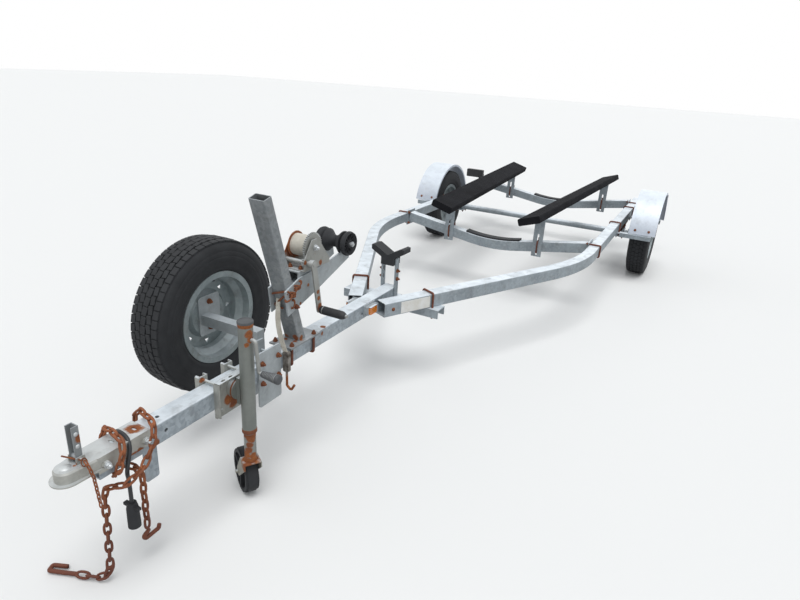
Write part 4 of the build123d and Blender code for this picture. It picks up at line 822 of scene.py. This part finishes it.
# Leaf springs and U-bolts: bare steel, brown-red with rust.
# The U-bolts clamp the cross members, the mast and the brackets to the square tubes.
bolt_rust = Finish("bolt_rust", Metallic=0.05)
pits = bolt_rust.grain(70, 6, rough=0.7)
scaled = (pits * 2.2 - 0.6).clamped()
bolt_rust.feed(
    Base_Color=bolt_rust.mix(scaled, (0.072, 0.026, 0.019, 1), (0.235, 0.078, 0.042, 1)),
    Roughness=0.70 + pits * 0.2,
    Relief=bolt_rust.grain(420, 5) * 0.0005,
)
paint(bolt_rust.material, "u_bolts", "leaf_springs")

# Winch mast and arm: open rectangular tube leaning forward from its base plate, with the arm
# bolted to it. Dull grey, rusty at the foot. The spare wheel's carrier has the arm's finish.
mast_zinc = galvanised(
    "mast_zinc",
    (0.33, 0.35, 0.355, 1),
    (0.15, 0.165, 0.175, 1),
    rust=(
        (0.02, -1.575, 0.44, 0.016),
        (-0.02, -1.58, 0.436, 0.014),
        (0.033, -1.555, 0.437, 0.012),
    ),
    bloom_and_top_highlight=0.3,
)
arm_zinc = galvanised(
    "arm_zinc",
    (0.50, 0.54, 0.555, 1),
    (0.24, 0.265, 0.275, 1),
    rust=((0.037, -1.565, 0.575, 0.007), (0.037, -1.52, 0.63, 0.008)),
    spangle=0.2,
    grime=0.3,
)
paint(mast_zinc, "mast")
paint(arm_zinc, "winch_arm", "spare_carrier")

# Winch: side plates, toothed drum wheel, pinion shaft and crank, bolted on top of the winch arm.
# Zinc-plated and dull; the drum's starboard flange and the crank's foot are rusty.
drum_y, drum_z = -1.4925, 0.761
pinion_y, pinion_z = -1.53368, 0.71414
plated_zinc = galvanised(
    "plated_zinc",
    (0.46, 0.46, 0.43, 1),
    (0.20, 0.205, 0.19, 1),
    rust=(
        (0.045, -1.46, 0.70, 0.012),
        (0.05, -1.55, 0.72, 0.010),
        (-0.037, drum_y, drum_z, 0.075),
    ),
    spangle=0.1,
)
crank_zinc = galvanised(
    "crank_zinc",
    (0.47, 0.475, 0.45, 1),
    (0.23, 0.235, 0.22, 1),
    rust=(
        (0.071, -1.50, 0.55, 0.018),
        (0.074, -1.512, 0.61, 0.010),
        (0.074, -1.508, 0.585, 0.010),
    ),
    spangle=0.1,
)
paint(plated_zinc, "winch_frame", "winch_drum")
paint(crank_zinc, "winch_crank")
seats = [((side * 0.0472, drum_y, drum_z), (side, 0, 0), 1.15) for side in sides]
loose(copies(nut, seats), "drum_shaft_nuts", bright_zinc, "winch_drum", 30)
seats = [((x, y, 0.691), (0, 0, 1), 0.9) for x in (-0.022, 0.022) for y in (-1.543, -1.425)]
loose(copies(nut, seats), "winch_base_nuts", old_rust.material, "frame", 30)
seats = []
for side in sides:
    for y, z in ((-1.612, 0.618), (-1.590, 0.571)):
        seats.append(((side * 0.03775, y, z), (side, 0, 0), 1))
loose(copies(nut, seats), "winch_arm_nuts", old_rust.material, "frame", 30)

# Winch grip: black moulded handle on the end of the winch's crank, with a rusty collar at its root.
# The crank's arm hangs 11 degrees aft of straight down from the pinion shaft.
black_grip = mottled(
    "black_grip",
    (45, 4),
    (0.008, 0.008, 0.009, 1),
    (0.036, 0.037, 0.040, 1),
    rough=(0.42, 0.3),
    relief=(700, 2, 0.00006),
    specular=0.4,
)
arm_length, arm_lean = 0.178, math.radians(11)
tip_y = pinion_y + arm_length * math.sin(arm_lean)
tip_z = pinion_z - arm_length * math.cos(arm_lean)
grip_profile = [
    (0.0, 0.0080), (0.0004, 0.0125), (0.0050, 0.0152), (0.0120, 0.0152), (0.0126, 0.0146),
    (0.0140, 0.0146), (0.0146, 0.0153), (0.0860, 0.0156), (0.0930, 0.0150), (0.1000, 0.0122),
    (0.1052, 0.0085), (0.1056, 0.0030),
]
winch_grip = turned(grip_profile, 36, (0.0768, tip_y, tip_z), (1, 0, 0))
loose(winch_grip, "winch_grip", black_grip, "winch_crank", 35)
collar_profile = [
    (0.0, 0.0070), (0.0, 0.0108), (0.0024, 0.0112), (0.0026, 0.0100), (0.0026, 0.0070),
]
collar = turned(collar_profile, 28, (0.0742, tip_y, tip_z), (1, 0, 0), caps=False)
loose(collar, "winch_grip_collar", old_rust.material, "winch_crank", 35)


# Lashing at the foot of the arm: two bars hooked round the mast and a short chain up to the arm.
# Bare steel, rusted orange.
def rod(start, end, radius):
    """Round bar from one place to another, its ends rounded off."""
    way = Vector(end) - Vector(start)
    length, rounding = way.length, radius * 0.4
    tip = radius * 0.6
    profile = [(0, tip), (rounding, radius), (length - rounding, radius), (length, tip)]
    return turned(profile, 14, start, way)


def link(place, turn):
    """Oval chain link, turned by the three angles given in degrees."""
    half_length, half_width = 0.0145, 0.0085
    lone()
    bpy.ops.mesh.primitive_torus_add(
        major_segments=28, minor_segments=10, major_radius=half_width, minor_radius=0.0027
    )
    oval = bpy.context.object
    bpy.ops.object.mode_set(mode="EDIT")
    bpy.ops.mesh.select_all(action="SELECT")
    stretch = half_length / half_width
    bpy.ops.transform.resize(value=(1, stretch, 1), center_override=(0, 0, 0))
    bpy.ops.object.mode_set(mode="OBJECT")
    oval.location = place
    oval.rotation_euler = [math.radians(angle) for angle in turn]
    return oval


lashing = [
    rod((-0.040, -1.6290, 0.613), (0.038, -1.6350, 0.640), 0.0036),
    rod((-0.043, -1.6140, 0.563), (0.038, -1.6370, 0.632), 0.0036),
    rod((-0.041, -1.6130, 0.566), (0.004, -1.6170, 0.565), 0.0034),
    rod((0.038, -1.6350, 0.640), (0.0420, -1.6240, 0.630), 0.0034),
]
for number in range(5):
    share = number / 4
    place = (0.0405, -1.6330 + 0.052 * share, 0.616 + 0.034 * share)
    lashing.append(link(place, (33, 90, 0) if number % 2 else (40, 12, 0)))
lashing.append(link((0.0405, -1.6120, 0.588), (80, 8, 0)))
loose(joined(lashing), "mast_lashing", old_rust.material, "frame", 60)

# Bow roller: moulded black rubber, a waisted spool between two ribbed bells that open outward.
# It turns on a long zinc-plated bolt through the end of the winch arm.
paint(bright_zinc, "bow_roller_bolt")
half_spool = [
    (0.0640, 0.0080), (0.0640, 0.0130), (0.0625, 0.0142), (0.0500, 0.0155), (0.0480, 0.0190),
    (0.0490, 0.0290), (0.0560, 0.0365), (0.0650, 0.0405), (0.0672, 0.0412), (0.0680, 0.0420),
    (0.0672, 0.0428), (0.0632, 0.0430), (0.0615, 0.0455), (0.0560, 0.0467), (0.0500, 0.0455),
    (0.0440, 0.0395), (0.0405, 0.0320), (0.0385, 0.0305), (0.0370, 0.0320), (0.0365, 0.0420),
    (0.0345, 0.0440), (0.0310, 0.0430), (0.0200, 0.0325), (0.0100, 0.0240), (0.0035, 0.0225),
]
roller_profile = [(-x, r) for x, r in half_spool] + [(x, r) for x, r in reversed(half_spool)]
roller_profile.append(roller_profile[0])
roller_y, roller_z = -1.2955, 0.733
roller_parts = [turned(roller_profile, 64, (0, roller_y, roller_z), (1, 0, 0), caps=False)]
rib_count, rib_middle = 12, 0.0255
for number in range(rib_count):
    turn = 2 * math.pi * number / rib_count
    rib_y = roller_y + rib_middle * math.sin(turn)
    rib_z = roller_z + rib_middle * math.cos(turn)
    for side in sides:
        rib = box((0, 0, 0), (0.0110, 0.0022, 0.0230), 0.0004, 1)
        rib.rotation_euler = (-turn, 0, 0)
        rib.location = (side * 0.0535, rib_y, rib_z)
        roller_parts.append(rib)
loose(joined(roller_parts), "bow_roller_moulded", rubber, "bow_roller", 35)
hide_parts("bow_roller")


# Winch strap: off-white webbing, wound on the drum and hanging from the lashing to its snap hook.
# Soiled and creased; the hanging end is folded to less than half its width.
def drawn(sections):
    """Strip work: a rectangle at the first (x, y, z, width, thickness), extruded on to each next."""
    lone()
    x, y, z, wide, thick = sections[0]
    bpy.ops.mesh.primitive_plane_add(size=1, location=(x, y, z))
    bpy.ops.object.mode_set(mode="EDIT")
    bpy.ops.mesh.select_all(action="SELECT")
    bpy.ops.transform.resize(value=(wide, thick, 1), center_override=(x, y, z))
    for before, after in zip(sections, sections[1:]):
        step = [b - a for a, b in zip(before[:3], after[:3])]
        bpy.ops.mesh.extrude_region_move(TRANSFORM_OT_translate={"value": step})
        grow = (after[3] / before[3], after[4] / before[4], 1)
        bpy.ops.transform.resize(value=grow, center_override=after[:3])
    bpy.ops.mesh.select_all(action="SELECT")
    bpy.ops.mesh.normals_make_consistent(inside=False)
    bpy.ops.object.mode_set(mode="OBJECT")
    return bpy.context.object


webbing = Finish("strap_webbing", Roughness=0.85)
soil = webbing.grain(26, 5)
threads = {"Vector": webbing.place, "Scale": 260.0}
weave = webbing.add("ShaderNodeTexWave", {"bands_direction": "Z"}, threads, out=1)
soiled = (soil * 2 - 0.6).clamped()
webbing.feed(
    Base_Color=webbing.mix(soiled, (0.68, 0.65, 0.57, 1), (0.42, 0.38, 0.31, 1)),
    Relief=weave * 0.0003 + webbing.grain(900, 2) * 0.0003,
)
paint(webbing.material, "strap_wound")
strap_run = [
    (-0.012, -1.6225, 0.600, 0.016, 0.0030),
    (-0.009, -1.6290, 0.566, 0.019, 0.0022),
    (-0.004, -1.6370, 0.535, 0.021, 0.0022),
    (0.004, -1.6440, 0.508, 0.022, 0.0020),
    (0.013, -1.6480, 0.482, 0.022, 0.0020),
    (0.023, -1.6505, 0.458, 0.021, 0.0022),
    (0.032, -1.6520, 0.438, 0.020, 0.0026),
    (0.038, -1.6525, 0.426, 0.019, 0.0034),
    (0.040, -1.6525, 0.420, 0.018, 0.0040),
]
loose(drawn(strap_run), "winch_strap_hanging", webbing.material, "frame", 40)
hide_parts("winch_strap")

# Snap hook: pressed steel body, tarnished and worn bright, with a rusty hook below it.
# It hangs from the strap's end at the tongue's port side.
hook_bronze = Finish("hook_bronze", Metallic=0.4)
tarnish = hook_bronze.grain(50, 5)
hook_low = ((0.345 - hook_bronze.along("Z")) * 60.0).clamped()
bare = (tarnish * 2.4 - 0.8).clamped()
bronze = hook_bronze.mix(bare, (0.07, 0.055, 0.042, 1), (0.36, 0.34, 0.31, 1))
hook_bronze.feed(
    Base_Color=hook_bronze.mix(hook_low, bronze, rusty_colour(hook_bronze)),
    Roughness=0.5 + tarnish * 0.3,
    Relief=hook_bronze.grain(300, 4) * 0.0003,
)
paint(hook_bronze.material, "strap_hook")

# Swivel jack: bracket clamped to the tongue, outer tube with its cap and crank, leg and caster.
# Dull zinc, rusty where the cap, the swivel and the leg hold water.
jack_zinc = galvanised(
    "jack_zinc",
    (0.275, 0.29, 0.265, 1),
    (0.13, 0.142, 0.132, 1),
    rust=(
        (0.110, -1.905, 0.606, 0.016),
        (0.112, -1.903, 0.588, 0.013),
        (0.106, -1.914, 0.573, 0.009),
        (0.068, -1.905, 0.612, 0.008),
    ),
    bands=((0.629, 0.0065), (0.269, 0.008)),
    spangle=0.1,
    grime=0.2,
)
leg_zinc = galvanised(
    "leg_zinc",
    (0.36, 0.37, 0.35, 1),
    (0.18, 0.19, 0.18, 1),
    rust=(
        (0.104, -1.91, 0.243, 0.018),
        (0.100, -1.915, 0.222, 0.014),
        (0.098, -1.916, 0.202, 0.015),
        (0.088, -1.918, 0.185, 0.018),
        (0.106, -1.905, 0.18, 0.014),
    ),
    bands=((0.162, 0.014), (0.252, 0.008)),
    spangle=0.1,
)
bracket_zinc = galvanised(
    "bracket_zinc",
    (0.50, 0.50, 0.46, 1),
    (0.23, 0.235, 0.215, 1),
    rust=(
        (0.037, -1.925, 0.372, 0.022),
        (0.037, -1.905, 0.352, 0.022),
        (0.05, -1.915, 0.38, 0.020),
        (-0.038, -1.965, 0.435, 0.013),
        (-0.03, -1.965, 0.437, 0.010),
    ),
    spangle=0.15,
    bloom_and_top_highlight=0.8,
)
fork_zinc = galvanised(
    "fork_zinc",
    (0.38, 0.375, 0.32, 1),
    (0.20, 0.195, 0.165, 1),
    rust=(
        (0.09, -1.90, 0.152, 0.036),
        (0.10, -1.93, 0.145, 0.028),
        (0.07, -1.88, 0.145, 0.022),
    ),
    spangle=0.1,
)
paint(jack_zinc, "jack_tube")
paint(leg_zinc, "jack_leg")
paint(bracket_zinc, "jack_bracket")
paint(fork_zinc, "caster_fork")
paint(crank_zinc, "jack_crank")

# Jack bracket's folds and pivot lip: slotted flange on top, an edge at each end, a rusty ring.
# Folded from the bracket's own plate; the ring stands round the boss that the jack swings on.
flange_top = 0.4532
flange = box((0.0459, -1.9055, flange_top), (0.0203, 0.1520, 0.0040), 0.0009, 2)
for y in (-1.9560, -1.9250, -1.8620):
    lone()
    bpy.ops.mesh.primitive_cylinder_add(
        vertices=20, radius=0.0042, depth=0.02, location=(0.0470, y, flange_top)
    )
    cutter = bpy.context.object
    cutter.scale = (1, 2.0, 1)
    cut = flange.modifiers.new("slot", "BOOLEAN")
    cut.object = cutter
    pick(flange)
    bpy.ops.object.modifier_apply(modifier="slot")
    bpy.data.objects.remove(cutter)
fore_edge = box((0.0452, -1.9795, 0.3950), (0.0190, 0.0040, 0.1180), 0.0009, 2)
aft_edge = box((0.0425, -1.8315, 0.3950), (0.0136, 0.0040, 0.1180), 0.0009, 2)
folds = joined([flange, fore_edge, aft_edge])
loose(folds, "jack_bracket_folds", bracket_zinc, "frame", 35)
jack_y = -1.899
lone()
bpy.ops.mesh.primitive_torus_add(
    major_segments=56,
    minor_segments=12,
    major_radius=0.0300,
    minor_radius=0.0050,
    location=(0.0510, jack_y, 0.404),
)
pivot_lip = bpy.context.object
pivot_lip.rotation_euler = (0, math.radians(90), 0)
loose(pivot_lip, "jack_pivot_lip", old_rust.material, "frame", 60)

# Jack trim: flat plastic cap pressed on the tube, rusty ring at its foot, tapered grooved grip.
# The grip turns with the crank and widens to its free end.
dark_cap = mottled(
    "dark_cap",
    (50, 4),
    (0.050, 0.054, 0.058, 1),
    (0.125, 0.130, 0.135, 1),
    rough=(0.5, 0.3),
    relief=(600, 2, 0.00008),
    specular=0.4,
)
jack_foot = (0.0907, jack_y, 0)
cap_profile = [
    (0.6350, 0.0236), (0.6352, 0.0245), (0.6405, 0.0245), (0.6422, 0.0238),
    (0.6424, 0.0205), (0.6414, 0.0195), (0.6414, 0.0120), (0.6420, 0.0030),
]
loose(turned(cap_profile, 48, jack_foot), "jack_cap", dark_cap, "jack_tube", 35)
ring_profile = [
    (0.2625, 0.0195), (0.2625, 0.0236), (0.2725, 0.0236), (0.2740, 0.0227), (0.2740, 0.0220),
]
tube_ring = turned(ring_profile, 44, jack_foot, caps=False)
loose(tube_ring, "jack_tube_ring", old_rust.material, "jack_tube", 35)
grip_rings = [(0.0, 0.0070), (0.0005, 0.0094)]
for groove in range(9):
    start = 0.004 + groove * 0.0055
    wide = 0.0096 + 0.0058 * start / 0.056
    grip_rings += [
        (start, wide),
        (start + 0.0040, wide + 0.0003),
        (start + 0.0045, wide - 0.0006),
        (start + 0.0050, wide - 0.0005),
    ]
grip_rings += [
    (0.0545, 0.0153), (0.0600, 0.0156), (0.0655, 0.0150),
    (0.0668, 0.0135), (0.0672, 0.0100), (0.0672, 0.0030),
]
jack_grip = turned(grip_rings, 32, (0.1385, -1.887, 0.474), (1, 0, 0))
loose(jack_grip, "jack_grip", dark_cap, "jack_crank", 35)

# Label: blank white film stuck on the port rail's outer side.
# It is bubbled, and yellowed in patches.
label_white = Finish("label_white", Roughness=0.55)
fade = label_white.grain(22, 5)
yellowed = (fade * 2.2 - 0.8).clamped()
label_white.feed(
    Base_Color=label_white.mix(yellowed, (0.86, 0.86, 0.83, 1), (0.70, 0.67, 0.58, 1)),
    Roughness=0.45 + fade * 0.3,
    Relief=label_white.grain(120, 3) * 0.0007,
)
rail_angle = math.radians(63.61)
label = box((0, 0, 0), (0.160, 0.0004, 0.053), 0.00015, 1)
label.rotation_euler = (0, 0, rail_angle)
label.location = (*rail_side(0.166, 0.03195), 0.3845)
loose(label, "blank_label", label_white.material, "frame", 30)

# Close: the solids' round faces are shaded smooth, and the models that were copied are taken away.
for node in nodes.values():
    pick(node)
    bpy.ops.object.shade_smooth_by_angle(angle=math.radians(28))
for model in (nut, dome, lug, valve):
    bpy.data.objects.remove(model)
